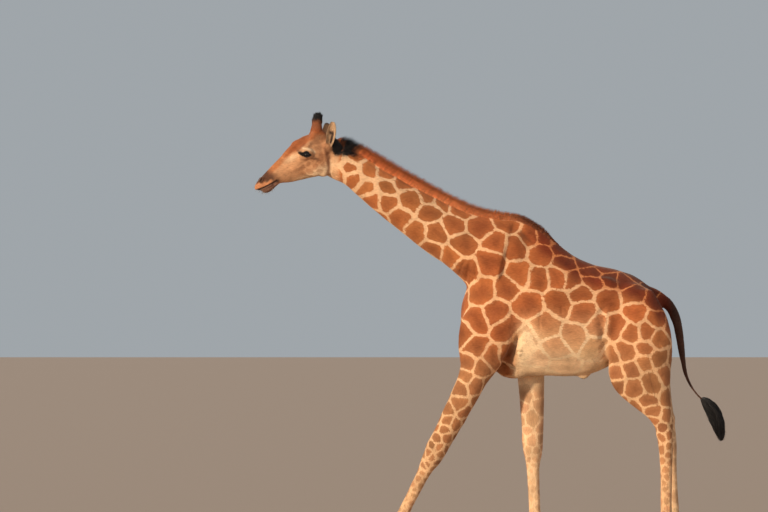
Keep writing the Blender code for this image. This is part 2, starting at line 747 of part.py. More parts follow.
def paint(nodes):
    coat = material("coat", (0.46, 0.19, 0.08), 0.8)
    pale = material("pale_coat", (0.72, 0.47, 0.28), 0.85)
    dark = material("dark_hair", (0.03, 0.022, 0.018), 0.7)
    brush = material("mane_hair", (0.30, 0.10, 0.035), 0.8)
    horn = material("claw_horn", (0.09, 0.07, 0.055), 0.5)
    wet = material("eye", (0.012, 0.008, 0.006), 0.08)
    finishes = {"mane": brush, "tail_tuft": dark, "ear": pale, "claw": horn, "eye": wet}
    for name, node in nodes.items():
        finish = next((finishes[key] for key in finishes if name.startswith(key)), coat)
        node.data.materials.clear()
        node.data.materials.append(finish)


def centre_on_floor(nodes):
    """Moves the model so that its box is centred on the origin and stands on the floor."""
    bpy.context.view_layer.update()
    points = [node.matrix_world @ vertex.co for node in nodes for vertex in node.data.vertices]
    middle = [(min(p[i] for p in points) + max(p[i] for p in points)) / 2 for i in range(2)]
    floor = min(point.z for point in points)
    for node in nodes:
        node.location -= Vector((*middle, floor))


def main():
    clear_scene()
    model = bpy.data.collections.new("giraffe")
    helpers = bpy.data.collections.new("cutters")
    for collection in (model, helpers):
        bpy.context.scene.collection.children.link(collection)

    flesh = make_flesh(helpers)
    whole = bpy.data.objects.new("whole_flesh", flesh.data.copy())
    helpers.objects.link(whole)
    nodes = part_flesh(flesh, model, helpers)
    cut_feet(nodes, helpers)
    for side in (LEFT, RIGHT):
        boolean(nodes["head"], eye_socket(side, helpers), "DIFFERENCE")
        freeze(nodes["head"])
    for node in nodes.values():
        keep_largest(node)

    extras = {"mane": make_mane(model), "tail": make_tail(model)}
    for side, name in ((LEFT, "left"), (RIGHT, "right")):
        extras["ossicone_" + name] = make_ossicone("ossicone_" + name, side, model)
        extras["ear_" + name] = make_ear("ear_" + name, side, model)
    for extra in extras.values():
        trim(extra, [whole], helpers)
    extras["tail_tuft"] = make_tuft(model)
    trim(extras["tail_tuft"], [extras["tail"]], helpers)
    for side, name in ((LEFT, "left"), (RIGHT, "right")):
        extras["eye_" + name] = make_eye("eye_" + name, side, model)
        for leg, rows in (("fore", foreleg_rows(side)), ("hind", hindleg_rows(side))):
            foot = Vector(rows[-1][:3])
            for claw, way in (("outer", side), ("inner", -side)):
                full = f"claw_{leg}_{name}_{claw}"
                extras[full] = make_claw(full, foot, way, model)
    nodes.update(extras)
    paint(nodes)
    centre_on_floor(nodes.values())
    for helper in helpers.objects:
        helper.hide_render = True
        helper.display_type = "WIRE"


main()
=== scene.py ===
"""Looks of a young southern giraffe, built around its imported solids.

One skin is fused from the same sections and muscles as the solids, at a finer grain, and
gets lids, nostrils, lips and folds by small moves of its points. Skin and coat carry the same
markings: cells round seeds that lie on the skin, kept as colours and as the distance to the
cell's edge. Short coat, mane, tail and horn hair are solid tufts that follow the lie of the coat.

Shapes are worked out in the body's own frame, which is the solids' frame before they were
centred on the floor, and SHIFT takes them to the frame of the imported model.
"""

import json
import math
from contextlib import contextmanager

import bmesh
import bpy
import numpy as np
from mathutils import Euler, Matrix, Vector
from mathutils.bvhtree import BVHTree

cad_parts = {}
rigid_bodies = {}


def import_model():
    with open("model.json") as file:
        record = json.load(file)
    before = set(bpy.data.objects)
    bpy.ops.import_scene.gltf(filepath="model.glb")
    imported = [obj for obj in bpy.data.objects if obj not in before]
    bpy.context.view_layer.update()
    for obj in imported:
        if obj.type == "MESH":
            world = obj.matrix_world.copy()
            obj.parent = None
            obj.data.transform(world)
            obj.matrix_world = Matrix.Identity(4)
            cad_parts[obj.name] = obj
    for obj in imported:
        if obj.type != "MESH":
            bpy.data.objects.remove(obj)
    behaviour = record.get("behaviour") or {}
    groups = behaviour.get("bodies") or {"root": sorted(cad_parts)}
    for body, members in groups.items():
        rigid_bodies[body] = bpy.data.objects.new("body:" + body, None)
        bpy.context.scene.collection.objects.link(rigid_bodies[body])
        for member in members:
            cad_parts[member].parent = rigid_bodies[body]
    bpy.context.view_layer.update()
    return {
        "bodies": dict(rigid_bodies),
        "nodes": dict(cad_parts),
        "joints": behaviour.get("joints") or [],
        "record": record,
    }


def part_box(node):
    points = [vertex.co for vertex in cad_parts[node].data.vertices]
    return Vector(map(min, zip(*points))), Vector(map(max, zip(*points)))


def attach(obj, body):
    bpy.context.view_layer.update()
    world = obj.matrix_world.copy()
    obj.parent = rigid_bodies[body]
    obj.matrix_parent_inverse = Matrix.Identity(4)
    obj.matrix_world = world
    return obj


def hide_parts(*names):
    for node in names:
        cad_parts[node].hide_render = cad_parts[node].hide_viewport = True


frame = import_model()

# ---- Driving dimensions, shared with the solids ----
LEFT, RIGHT = -1, 1
SIDES = (LEFT, RIGHT)
NAMED_SIDES = ((LEFT, "left"), (RIGHT, "right"))
RING = 28  # points round a lofted section

LIPS = Vector((-1.492, -0.084, 2.346))  # tip of the upper lip
HEAD_PITCH = 30.0  # the muzzle hangs this far below the level
HEAD_YAW = 9.0  # and turns this far towards the left

ELBOW_TO_FETLOCK = 1.140
FORE_SPREAD = 0.150  # elbow to the midline
HIND_SPREAD = 0.140
HOOF_HEIGHT = 0.088
HOOF_LENGTH = 0.150
HOOF_WIDTH = 0.104
CLEFT = 0.007  # between a foot's two claws

EYE_RADIUS = 0.0245
OSSICONE_LENGTH = 0.160
EAR_LENGTH = 0.195
EAR_WIDTH = 0.074
MANE_HEIGHT = 0.062
TAIL_TUFT_RADIUS = 0.047

# Forelegs: (elbow x, elbow z, degrees the leg reaches forward) for each side.
FORE_STRIDE = {LEFT: (-0.085, 1.232, 27.0), RIGHT: (0.243, 1.335, -2.0)}
# Hind legs: how far the hoof stands behind its place under the buttock.
HIND_STRIDE = {LEFT: 0.0, RIGHT: 0.085}

# ---- Sections ----
# Trunk, front to back: x, top z, bottom z, half width at four fifths, half and one fifth height.
TRUNK = (
    (-0.192, 1.605, 1.455, 0.040, 0.062, 0.045),
    (-0.166, 1.690, 1.365, 0.085, 0.122, 0.090),
    (-0.095, 1.900, 1.265, 0.105, 0.172, 0.125),
    (0.020, 2.110, 1.195, 0.092, 0.192, 0.140),
    (0.130, 2.178, 1.163, 0.074, 0.205, 0.155),
    (0.250, 2.140, 1.158, 0.088, 0.222, 0.178),
    (0.380, 2.045, 1.160, 0.118, 0.240, 0.200),
    (0.520, 1.936, 1.158, 0.150, 0.252, 0.206),
    (0.660, 1.872, 1.182, 0.160, 0.243, 0.190),
    (0.790, 1.846, 1.245, 0.152, 0.212, 0.155),
    (0.910, 1.803, 1.330, 0.135, 0.192, 0.130),
    (1.010, 1.730, 1.400, 0.100, 0.150, 0.100),
    (1.080, 1.630, 1.470, 0.050, 0.078, 0.050),
)
# Neck, base to poll: top x, top z, bottom x, bottom z, half widths as for the trunk.
NECK = (
    (0.140, 2.160, -0.020, 1.520, 0.105, 0.186, 0.140),
    (0.030, 2.172, -0.128, 1.700, 0.092, 0.166, 0.128),
    (-0.120, 2.200, -0.266, 1.844, 0.080, 0.138, 0.108),
    (-0.290, 2.277, -0.412, 1.946, 0.070, 0.117, 0.094),
    (-0.450, 2.362, -0.560, 2.062, 0.063, 0.103, 0.083),
    (-0.610, 2.450, -0.716, 2.188, 0.057, 0.092, 0.075),
    (-0.750, 2.533, -0.842, 2.295, 0.053, 0.084, 0.070),
    (-0.870, 2.601, -0.930, 2.376, 0.052, 0.079, 0.066),
    (-0.945, 2.636, -0.998, 2.408, 0.050, 0.075, 0.060),
    (-1.015, 2.650, -1.050, 2.438, 0.043, 0.066, 0.052),
)
# Head, lips to poll, in its own frame: along, top, bottom, half widths as above.
HEAD = (
    (0.000, 0.010, -0.010, 0.012, 0.018, 0.013),
    (0.014, 0.025, -0.018, 0.024, 0.034, 0.029),
    (0.050, 0.042, -0.025, 0.029, 0.041, 0.039),
    (0.100, 0.057, -0.036, 0.030, 0.041, 0.038),
    (0.160, 0.075, -0.050, 0.030, 0.041, 0.033),
    (0.220, 0.092, -0.078, 0.034, 0.046, 0.030),
    (0.280, 0.108, -0.097, 0.043, 0.056, 0.034),
    (0.340, 0.124, -0.115, 0.056, 0.070, 0.040),
    (0.390, 0.134, -0.132, 0.064, 0.078, 0.047),
    (0.440, 0.136, -0.146, 0.064, 0.078, 0.050),
    (0.490, 0.128, -0.146, 0.060, 0.073, 0.050),
    (0.540, 0.100, -0.128, 0.054, 0.068, 0.050),
    (0.585, 0.060, -0.100, 0.046, 0.062, 0.048),
    (0.612, 0.015, -0.070, 0.030, 0.042, 0.034),
)
# Lower lip and chin, in the head's frame.
CHIN = (
    (0.030, -0.012, -0.028, 0.010, 0.016, 0.012),
    (0.042, -0.010, -0.049, 0.024, 0.033, 0.024),
    (0.075, -0.020, -0.064, 0.025, 0.036, 0.026),
    (0.110, -0.026, -0.056, 0.024, 0.034, 0.025),
    (0.150, -0.030, -0.048, 0.020, 0.026, 0.018),
)
# Foreleg: distance below the elbow, reach ahead of and behind the bone line, half width.
FORELEG = (
    (-0.090, 0.128, 0.135, 0.080),
    (0.000, 0.116, 0.118, 0.073),
    (0.120, 0.088, 0.102, 0.065),
    (0.250, 0.077, 0.096, 0.059),
    (0.380, 0.070, 0.089, 0.053),
    (0.500, 0.064, 0.081, 0.048),
    (0.585, 0.067, 0.076, 0.051),
    (0.655, 0.058, 0.069, 0.045),
    (0.750, 0.045, 0.048, 0.035),
    (0.920, 0.038, 0.042, 0.031),
    (1.050, 0.038, 0.045, 0.032),
    (1.140, 0.043, 0.051, 0.038),
)
KNEE_ROW = 6
# Upper arm: share of the way from the point of the shoulder to the elbow, then as for the foreleg.
UPPER_ARM = (
    (-0.10, 0.060, 0.110, 0.050),
    (0.08, 0.098, 0.150, 0.074),
    (0.5, 0.125, 0.170, 0.088),
    (1.0, 0.112, 0.130, 0.080),
    (1.25, 0.080, 0.085, 0.060),
)
# Hind leg: bone line x, z, then reach ahead and behind, half width.
HINDLEG = (
    (0.940, 1.720, 0.100, 0.080, 0.030),
    (0.935, 1.600, 0.185, 0.148, 0.080),
    (0.925, 1.450, 0.195, 0.205, 0.100),
    (0.925, 1.310, 0.192, 0.222, 0.100),
    (0.950, 1.180, 0.208, 0.198, 0.088),
    (1.000, 1.055, 0.150, 0.144, 0.070),
    (1.048, 0.950, 0.088, 0.096, 0.054),
    (1.077, 0.870, 0.058, 0.070, 0.047),
    (1.090, 0.800, 0.052, 0.060, 0.046),
    (1.097, 0.720, 0.047, 0.054, 0.041),
    (1.100, 0.600, 0.040, 0.045, 0.034),
    (1.100, 0.420, 0.036, 0.041, 0.031),
    (1.098, 0.285, 0.037, 0.044, 0.032),
    (1.092, 0.195, 0.042, 0.050, 0.038),
)
# Pastern and coronet: back from the toe side of the fetlock, height, ahead, behind, half width.
FOOT = (
    (-0.024, 0.135, 0.037, 0.040, 0.036),
    (-0.041, 0.090, 0.047, 0.046, 0.042),
    (-0.050, 0.055, 0.050, 0.049, 0.043),
)
# Tail, root to tip: x, z, half thickness along the body's midline, half width.
TAIL = (
    (1.000, 1.700, 0.040, 0.036),
    (1.070, 1.664, 0.040, 0.034),
    (1.133, 1.600, 0.037, 0.031),
    (1.175, 1.515, 0.033, 0.027),
    (1.198, 1.400, 0.028, 0.023),
    (1.216, 1.270, 0.021, 0.018),
    (1.237, 1.165, 0.014, 0.013),
    (1.284, 1.075, 0.010, 0.010),
    (1.344, 1.010, 0.011, 0.011),
)
# Tail tuft: x, z, share of its radius.
TUFT = (
    (1.334, 1.022, 0.30),
    (1.372, 0.988, 0.80),
    (1.408, 0.938, 1.00),
    (1.436, 0.868, 0.95),
    (1.452, 0.800, 0.68),
    (1.462, 0.748, 0.26),
)
# Mane, poll to the back: x, z of the crest's skin, share of the mane's height.
MANE = (
    (-0.975, 2.628, 0.55),
    (-0.930, 2.626, 1.00),
    (-0.850, 2.588, 1.00),
    (-0.700, 2.502, 1.00),
    (-0.520, 2.400, 0.95),
    (-0.350, 2.310, 0.90),
    (-0.200, 2.236, 0.85),
    (-0.060, 2.186, 0.80),
    (0.080, 2.170, 0.62),
    (0.200, 2.155, 0.45),
    (0.330, 2.085, 0.32),
    (0.430, 2.008, 0.18),
)

# ---- Looks ----
SKIN_VOXEL = 0.0046
SKIN_TRIANGLES = 55_000
# Edges beside a marking are cut while longer than these; in the last round only bridges are.
MARK_STEPS = ((0.022, 0.0164, math.inf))
SOFT_ROUNDS, SOFT_VOXEL = 44, 0.0075  # so many rounds of softening for voxels of that size
FIRST_SHARE = 2.6  # the first thinning, which spares the eyes and the muzzle, leaves this many times more
BRIDGED_GAP, LONGEST_EDGE = 0.0075, 0.040
COAT_DEPTH = 0.0025  # how far the skin lies under the solids
TUFT_SHARE = 1.0
CAMERA_LENS = 222.0  # millimetres, for a sensor 36 mm wide
CAMERA_PLACE = Vector((-0.677, -30.0, 1.924))  # before SHIFT
CORONET_CUT = 0.082  # the skin ends at this height, inside the claws
FACE_X, MUZZLE_X = -1.0, -1.25  # the face and the muzzle lie ahead of these
FOLDED = 0.90  # a point is folded where a face's normal agrees with its own less than this
FOLD_EDGE = 0.0105  # longest edge left beside the narrow creases
rng = np.random.default_rng(7)


# ---- Lofts and muscles, shared with the solids ----
def eased(four, t):
    """A tuple a share t of the way from the second to the third of four, on a Catmull-Rom curve."""
    return tuple(
        0.5 * (2 * b + (c - a) * t + (2 * a - 5 * b + 4 * c - d) * t**2 + (3 * b - a - 3 * c + d) * t**3)
        for a, b, c, d in zip(*four)
    )


def spaced(rows, steps):
    """The rows of numbers with steps - 1 more between each two, on a smooth curve."""
    found = []
    for i in range(len(rows) - 1):
        four = rows[max(i - 1, 0)], rows[i], rows[i + 1], rows[min(i + 2, len(rows) - 1)]
        found += [eased(four, step / steps) for step in range(steps)]
    found.append(tuple(rows[-1]))
    return found


def section(centre, up, side, above, below, widths):
    """A closed ring whose half widths are given at four fifths, half and one fifth of its height."""
    height = above + below
    levels = (above, above - 0.2 * height, above - 0.5 * height, above - 0.8 * height, -below)
    half = (0.0, *widths, 0.0)
    outline = list(zip(half, levels)) + [(-w, u) for w, u in list(zip(half, levels))[3:0:-1]]
    ring = []
    count = len(outline)
    for i in range(RING):
        at = i * count / RING
        k = int(at)
        w, u = eased([outline[(k + j) % count] for j in (-1, 0, 1, 2)], at - k)
        ring.append(centre + side * w + up * u)
    return ring


def loft(bm, rings):
    """A closed tube through rings of points, added to bm."""
    loops = [[bm.verts.new(point) for point in ring] for ring in rings]
    count = len(loops[0])
    faces = [
        bm.faces.new((one[i], one[(i + 1) % count], two[(i + 1) % count], two[i]))
        for one, two in zip(loops, loops[1:])
        for i in range(count)
    ]
    faces += [bm.faces.new(loops[0][::-1]), bm.faces.new(loops[-1])]
    bmesh.ops.recalc_face_normals(bm, faces=faces)


def ball(bm, centre, radii, turn=(0, 0, 0), frame=None):
    """An ellipsoid, turned by Euler degrees about its centre, in the body's frame or another."""
    matrix = (
        (frame or Matrix())
        @ Matrix.Translation(centre)
        @ Euler([math.radians(a) for a in turn]).to_matrix().to_4x4()
        @ Matrix.Diagonal((*radii, 1))
    )
    bmesh.ops.create_uvsphere(bm, u_segments=24, v_segments=16, radius=1, matrix=matrix)


def paired_balls(bm, rows, frame=None):
    """Ellipsoids on both sides: rows of a centre, radii and turns as they are on the right."""
    for side in SIDES:
        for (x, y, z), radii, (roll, pitch, yaw) in rows:
            ball(bm, (x, side * y, z), radii, (side * roll, pitch, side * yaw), frame)


def turns(count):
    """Angles evenly spaced round a circle."""
    return [k * math.tau / count for k in range(count)]


def direction_of(points, i):
    """Which way a line of points runs at one of them."""
    return (points[min(i + 1, len(points) - 1)] - points[max(i - 1, 0)]).normalized()


def limb_rings(rows, steps=4):
    """Rings for (x, y, z, ahead, behind, half width) rows of a limb that hangs in a lengthwise plane."""
    rows = spaced(rows, steps)
    centres = [Vector(row[:3]) for row in rows]
    rings = []
    for i, row in enumerate(rows):
        side = Vector((0, 1, 0))
        ahead = side.cross(direction_of(centres, i)).normalized()
        if ahead.x > 0:
            ahead = -ahead
        ahead_size, behind_size, half = row[3:]
        rings.append(
            section(centres[i], ahead, side, ahead_size, behind_size, (0.8 * half, half, 0.8 * half))
        )
    return rings


def head_frame():
    """The head's own frame, placed in the body: +X along it from lips to poll, +Z up, +Y right."""
    pitch = Matrix.Rotation(math.radians(-HEAD_PITCH), 4, "Y")
    yaw = Matrix.Rotation(math.radians(HEAD_YAW), 4, "Z")
    return Matrix.Translation(LIPS) @ yaw @ pitch


def head_rings(rows, frame, steps=3):
    """Rings for rows of the head or the chin."""
    rings = []
    for along, top, bottom, *widths in spaced(rows, steps):
        ring = section(Vector((along, 0, 0)), Vector((0, 0, 1)), Vector((0, 1, 0)), top, -bottom, widths)
        rings.append([frame @ point for point in ring])
    return rings


# Paired muscles and bones: centre, radii, and degrees about x, y and z, as they are on the right.
HEAD_FORMS = (
    ((0.383, 0.074, 0.034), (0.050, 0.029, 0.037), (0, 0, 8)),  # orbit
    ((0.395, 0.064, 0.072), (0.058, 0.026, 0.018), (0, -6, 6)),  # brow
    ((0.290, 0.046, -0.006), (0.100, 0.014, 0.024), (0, 6, 8)),  # cheek ridge
    ((0.398, 0.036, -0.062), (0.086, 0.029, 0.066), (0, 18, 0)),  # masseter
    ((0.436, 0.034, -0.120), (0.044, 0.022, 0.036), (0, 20, 0)),  # jaw angle
    ((0.502, 0.038, 0.096), (0.042, 0.030, 0.048), (0, 28, 0)),  # ossicone base
    ((0.520, 0.060, 0.004), (0.032, 0.026, 0.042), (0, 30, 0)),  # ear base
    ((0.058, 0.027, 0.028), (0.036, 0.013, 0.016), (0, -24, 12)),  # nostril
    ((0.060, 0.026, -0.014), (0.052, 0.016, 0.015), (0, 14, 14)),  # upper lip
)
TRUNK_FORMS = (
    ((0.115, 0.082, 1.870), (0.105, 0.062, 0.230), (12, 14, 0)),  # shoulder blade
    ((0.420, 0.140, 1.500), (0.300, 0.112, 0.240), (0, 6, 0)),  # ribs
    ((0.900, 0.100, 1.620), (0.160, 0.080, 0.135), (0, 20, 0)),  # croup
    ((0.735, 0.120, 1.730), (0.100, 0.046, 0.060), (0, 20, 0)),  # point of hip
    ((-0.060, 0.040, 1.900), (0.200, 0.075, 0.130), (0, 60, 0)),  # neck's root
)


def add_head(bm, frame):
    loft(bm, head_rings(HEAD, frame))
    loft(bm, head_rings(CHIN, frame))
    ball(bm, (0.385, 0, 0.118), (0.050, 0.034, 0.022), (0, 8, 0), frame)  # median bump
    paired_balls(bm, HEAD_FORMS, frame)


def add_neck_and_trunk(bm):
    rings = []
    for top_x, top_z, bottom_x, bottom_z, *widths in spaced(NECK, 3):
        top, bottom = Vector((top_x, 0, top_z)), Vector((bottom_x, 0, bottom_z))
        half = (top - bottom).length / 2
        up = (top - bottom).normalized()
        rings.append(section((top + bottom) / 2, up, Vector((0, 1, 0)), half, half, widths))
    loft(bm, rings)
    rings = []
    for x, top, bottom, *widths in spaced(TRUNK, 3):
        half = (top - bottom) / 2
        centre = Vector((x, 0, (top + bottom) / 2))
        rings.append(section(centre, Vector((0, 0, 1)), Vector((0, 1, 0)), half, half, widths))
    loft(bm, rings)
    ball(bm, (0.150, 0, 1.205), (0.120, 0.075, 0.060))  # brisket
    ball(bm, (0.592, 0, 1.168), (0.045, 0.016, 0.030), (0, -12, 0))  # sheath
    paired_balls(bm, TRUNK_FORMS)


def elbow_place(side):
    elbow_x, elbow_z, _ = FORE_STRIDE[side]
    return Vector((elbow_x, side * FORE_SPREAD, elbow_z))


def foreleg_rows(side):
    """Rows of the foreleg down its bone line to the coronet."""
    reach = math.radians(FORE_STRIDE[side][2])
    lean = Vector((-math.sin(reach), 0, -math.cos(reach)))
    elbow = elbow_place(side)
    rows = []
    for down, ahead, behind, half in FORELEG:
        point = elbow + lean * down
        point.y -= side * 0.020 * max(down, 0) / ELBOW_TO_FETLOCK
        rows.append((*point, ahead, behind, half))
    fetlock = Vector(rows[-1][:3])
    return rows + foot_rows(fetlock)


def foot_rows(fetlock):
    """Rows from the fetlock down to the coronet."""
    return [(fetlock.x + back, fetlock.y, z, ahead, behind, half) for back, z, ahead, behind, half in FOOT]


def hindleg_rows(side):
    """Rows of the hind leg down its bone line to the coronet."""
    rows = []
    hip_z = HINDLEG[0][1]
    for x, z, ahead, behind, half in HINDLEG:
        lag = HIND_STRIDE[side] * ((hip_z - z) / hip_z) ** 1.5
        rows.append((x + lag, side * HIND_SPREAD, z, ahead, behind, half))
    return rows + foot_rows(Vector(rows[-1][:3]))


def add_foreleg(bm, side):
    rows = foreleg_rows(side)
    loft(bm, limb_rings(rows))
    elbow = elbow_place(side)
    shoulder = Vector((-0.095, side * 0.125, 1.555))
    loft(bm, limb_rings([(*shoulder.lerp(elbow, t), *sizes) for t, *sizes in UPPER_ARM]))
    blade = Vector((0.130, side * 0.120, 1.800))
    middle = elbow.lerp(blade, 0.42)
    lean = math.degrees(math.atan2(blade.x - elbow.x, blade.z - elbow.z))
    ball(bm, middle + Vector((0.045, 0, 0)), (0.115, 0.085, 0.270), (0, lean, 0))  # triceps
    ball(bm, elbow + Vector((0.085, 0, 0.015)), (0.045, 0.032, 0.055), (0, 20, 0))  # elbow point
    knee = Vector(rows[KNEE_ROW][:3])
    ball(bm, knee + Vector((-0.012, 0, 0.005)), (0.056, 0.052, 0.062), (0, FORE_STRIDE[side][2], 0))


def add_hindleg(bm, side):
    rows = hindleg_rows(side)
    loft(bm, limb_rings(rows))
    stifle_z, hock_z = 1.215, 0.868
    stifle = next(row for row in rows if row[2] < stifle_z)
    hock = next(row for row in rows if row[2] < hock_z + 0.01)
    ball(bm, (stifle[0] - 0.150, stifle[1], stifle_z), (0.062, 0.062, 0.095), (0, 16, 0))  # stifle
    ball(bm, (stifle[0] - 0.060, side * 0.155, 1.420), (0.165, 0.082, 0.235), (0, 18, 0))  # thigh
    ball(bm, (stifle[0] + 0.105, side * 0.135, 1.400), (0.085, 0.072, 0.235), (0, -6, 0))  # hamstring
    ball(bm, (hock[0] + 0.052, hock[1], hock_z + 0.004), (0.022, 0.024, 0.052), (0, 6, 0))  # point of hock
    ball(bm, (hock[0] + 0.008, hock[1], hock_z - 0.060), (0.052, 0.046, 0.060))  # hock joint


# ---- Small tools ----
def smoothstep(x, low, high):
    """0 below low, 1 above high and an eased way between."""
    t = np.clip((x - low) / (high - low), 0, 1)
    return t * t * (3 - 2 * t)


def unit(v):
    """Rows of vectors, each made one long."""
    return v / np.maximum(np.linalg.norm(v, axis=-1, keepdims=True), 1e-9)


def heading(*v):
    """One direction, as a unit vector."""
    v = np.array(v)
    return v / np.linalg.norm(v)


def square_to(axis, *v):
    """A direction less its share along the axis, as a unit vector."""
    v = np.array(v)
    return heading(*(v - axis * (v @ axis)))


def along_skin(way, n):
    """Directions less their shares along the skin's normals."""
    return way - n * (way * n).sum(1)[:, None]


def bell(x, width, power=2):
    """1 where x is 0, falling off beyond the width."""
    return np.exp(-((x / width) ** power))


def oval(a, u, middle, reach):
    """1 at the middle, falling off beyond the reach in each direction."""
    return np.exp(-(((a - middle[0]) / reach[0]) ** 2) - (((u - middle[1]) / reach[1]) ** 2))


def between(x, rows):
    """The second numbers of the rows at x, which runs along the first ones."""
    return np.interp(x, [row[0] for row in rows], [row[1] for row in rows])


def srgb(r, g, b):
    """Linear values of an sRGB colour out of 255."""
    c = np.array((r, g, b), float) / 255
    return np.where(c <= 0.04045, c / 12.92, ((c + 0.055) / 1.055) ** 2.4)


def mix(a, b, t):
    """From a to b by t, each number of t going with one colour or direction."""
    t = np.asarray(t)
    return a + (b - a) * (t[..., None] if np.shape(a)[-1:] == (3,) else t)


def wobble(p, size, seed, count=7):
    """Smooth noise of about -1 to 1 at points p, with bumps about size metres across."""
    draw = np.random.default_rng(seed)
    waves = unit(draw.normal(size=(count, 3))) * (math.tau / size * draw.uniform(0.5, 1.1, (count, 1)))
    phases = draw.uniform(0, math.tau, count)
    return np.sin(p @ waves.T + phases).sum(1) / math.sqrt(count)


def values_of(items, key, width, kind=np.float32):
    """One property of all of a mesh's points, edges or faces, a row for each."""
    found = np.empty(len(items) * width, kind)
    items.foreach_get(key, found)
    return found.reshape(-1, width)


def points_of(mesh):
    return values_of(mesh.vertices, "co", 3).astype(float)


def mesh_arrays(mesh):
    """Points and their normals."""
    return points_of(mesh), values_of(mesh.vertices, "normal", 3).astype(float)


def triangles_of(mesh):
    return values_of(mesh.polygons, "vertices", 3, np.int32)


def set_points(mesh, co):
    mesh.vertices.foreach_set("co", co.astype(np.float32).ravel())
    mesh.update()


def set_marks(mesh, marks):
    """Writes one value or colour per point for each named array."""
    for name, values in marks.items():
        if np.ndim(values) == 1:
            layer = mesh.attributes.new(name, "FLOAT", "POINT")
            layer.data.foreach_set("value", np.asarray(values, np.float32))
        else:
            layer = mesh.attributes.new(name, "FLOAT_COLOR", "POINT")
            full = np.ones((len(values), 4), np.float32)
            full[:, :3] = values
            layer.data.foreach_set("color", full.ravel())


def mesh_from(name, points, faces):
    """A mesh from arrays of points and triangles."""
    mesh = bpy.data.meshes.new(name)
    mesh.vertices.add(len(points))
    mesh.vertices.foreach_set("co", np.asarray(points, np.float32).ravel())
    mesh.loops.add(faces.size)
    mesh.loops.foreach_set("vertex_index", faces.ravel().astype(np.int32))
    mesh.polygons.add(len(faces))
    mesh.polygons.foreach_set("loop_start", np.arange(0, faces.size, 3, dtype=np.int32))
    mesh.update(calc_edges=True)
    return mesh


def smooth_shaded(mesh):
    """Smooth shading on every face."""
    mesh.polygons.foreach_set("use_smooth", np.ones(len(mesh.polygons), bool))


def added(name, data):
    """A new object in the scene."""
    obj = bpy.data.objects.new(name, data)
    bpy.context.scene.collection.objects.link(obj)
    return obj


def place(name, mesh, material):
    """Adds a piece: moves its mesh from the body's frame to the model's and lets it ride."""
    mesh.transform(Matrix.Translation(SHIFT))
    smooth_shaded(mesh)
    mesh.materials.append(material)
    obj = added(name, mesh)
    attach(obj, "root")
    return obj


def mesh_of(name, bm, triangulated=True):
    """A mesh from bm, which is used up."""
    if triangulated:
        bmesh.ops.triangulate(bm, faces=bm.faces)
    mesh = bpy.data.meshes.new(name)
    bm.to_mesh(mesh)
    bm.free()
    return mesh


def lofted(name, rings):
    """A mesh of triangles through rings of points."""
    bm = bmesh.new()
    loft(bm, rings)
    return mesh_of(name, bm)


@contextmanager
def editing(mesh):
    """A bmesh of the mesh, written back at the end."""
    bm = bmesh.new()
    bm.from_mesh(mesh)
    yield bm
    bm.to_mesh(mesh)
    bm.free()


def cut_off(bm, point, way):
    """Cuts away what lies beyond a plane and closes the cut."""
    every = bm.verts[:] + bm.edges[:] + bm.faces[:]
    cut = bmesh.ops.bisect_plane(bm, geom=every, plane_co=point, plane_no=way, clear_outer=True)
    rims = [item for item in cut["geom_cut"] if isinstance(item, bmesh.types.BMEdge)]
    bmesh.ops.holes_fill(bm, edges=rims, sides=0)


def freeze(obj):
    """Puts an object's modifiers into its mesh."""
    graph = bpy.context.evaluated_depsgraph_get()
    graph.update()
    mesh = bpy.data.meshes.new_from_object(obj.evaluated_get(graph))
    obj.modifiers.clear()
    obj.data = mesh
    return obj


SKULL = head_frame()
HEAD_AXES = np.array(SKULL.to_3x3())
HEAD_ORIGIN = np.array(SKULL.translation)


def to_head(p):
    """Points in the head's frame: along it from the lips, to its right, and up from it."""
    return (p - HEAD_ORIGIN) @ HEAD_AXES


def from_head(q):
    """The way back to the body's frame."""
    return q @ HEAD_AXES.T + HEAD_ORIGIN


def eye_place(side):
    """The middle of an eyeball, in the head's frame."""
    return Vector((EYE_LOCAL[0], side * EYE_LOCAL[1], EYE_LOCAL[2]))


EYE_LOCAL = (0.3835, 0.0835, 0.0305)
low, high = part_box("eye_left")
SHIFT = (low + high) / 2 - SKULL @ eye_place(LEFT)


# ---- Skin ----
def vertex_group(obj, name, weights):
    """Weights from 0 to 1 for the points, in even steps so that each takes one call."""
    group = obj.vertex_groups.new(name=name)
    grades = 40
    levels = np.round(np.asarray(weights) * grades).astype(int)
    for level in np.unique(levels):
        group.add(np.nonzero(levels == level)[0].tolist(), level / grades, "REPLACE")


def add_tail(bm):
    rows = spaced([(x, 0, z, half, half, width) for x, z, half, width in TAIL], 4)
    centres = [Vector(row[:3]) for row in rows]
    rings = []
    for i, row in enumerate(rows):
        across = direction_of(centres, i).cross(Vector((0, 1, 0)))
        ring = [across * row[3] * math.cos(a) + Vector((0, row[5] * math.sin(a), 0)) for a in turns(18)]
        rings.append([centres[i] + step for step in ring])
    loft(bm, rings)


FACE_DETAILS = (
    ((0.022, 0.020, 0.004), (0.024, 0.014, 0.012), (0, 10, 24)),  # tip of the lip
    ((0.062, 0.036, 0.034), (0.020, 0.006, 0.010), (0, -30, 4)),  # nostril's rim
    ((0.372, 0.075, 0.058), (0.040, 0.020, 0.012), (0, 22, 10)),  # upper lid
    ((0.512, 0.068, 0.000), (0.024, 0.016, 0.036), (0, 26, 0)),  # ear's root
)


def add_face_details(bm):
    """Lips and lids that the solids leave out."""
    paired_balls(bm, FACE_DETAILS, SKULL)
    ball(bm, (0.070, 0, -0.046), (0.040, 0.026, 0.016), (0, 4, 0), SKULL)  # chin
    ball(bm, (0.345, 0, 0.105), (0.115, 0.044, 0.024), (0, -12, 0), SKULL)  # bridge of the nose


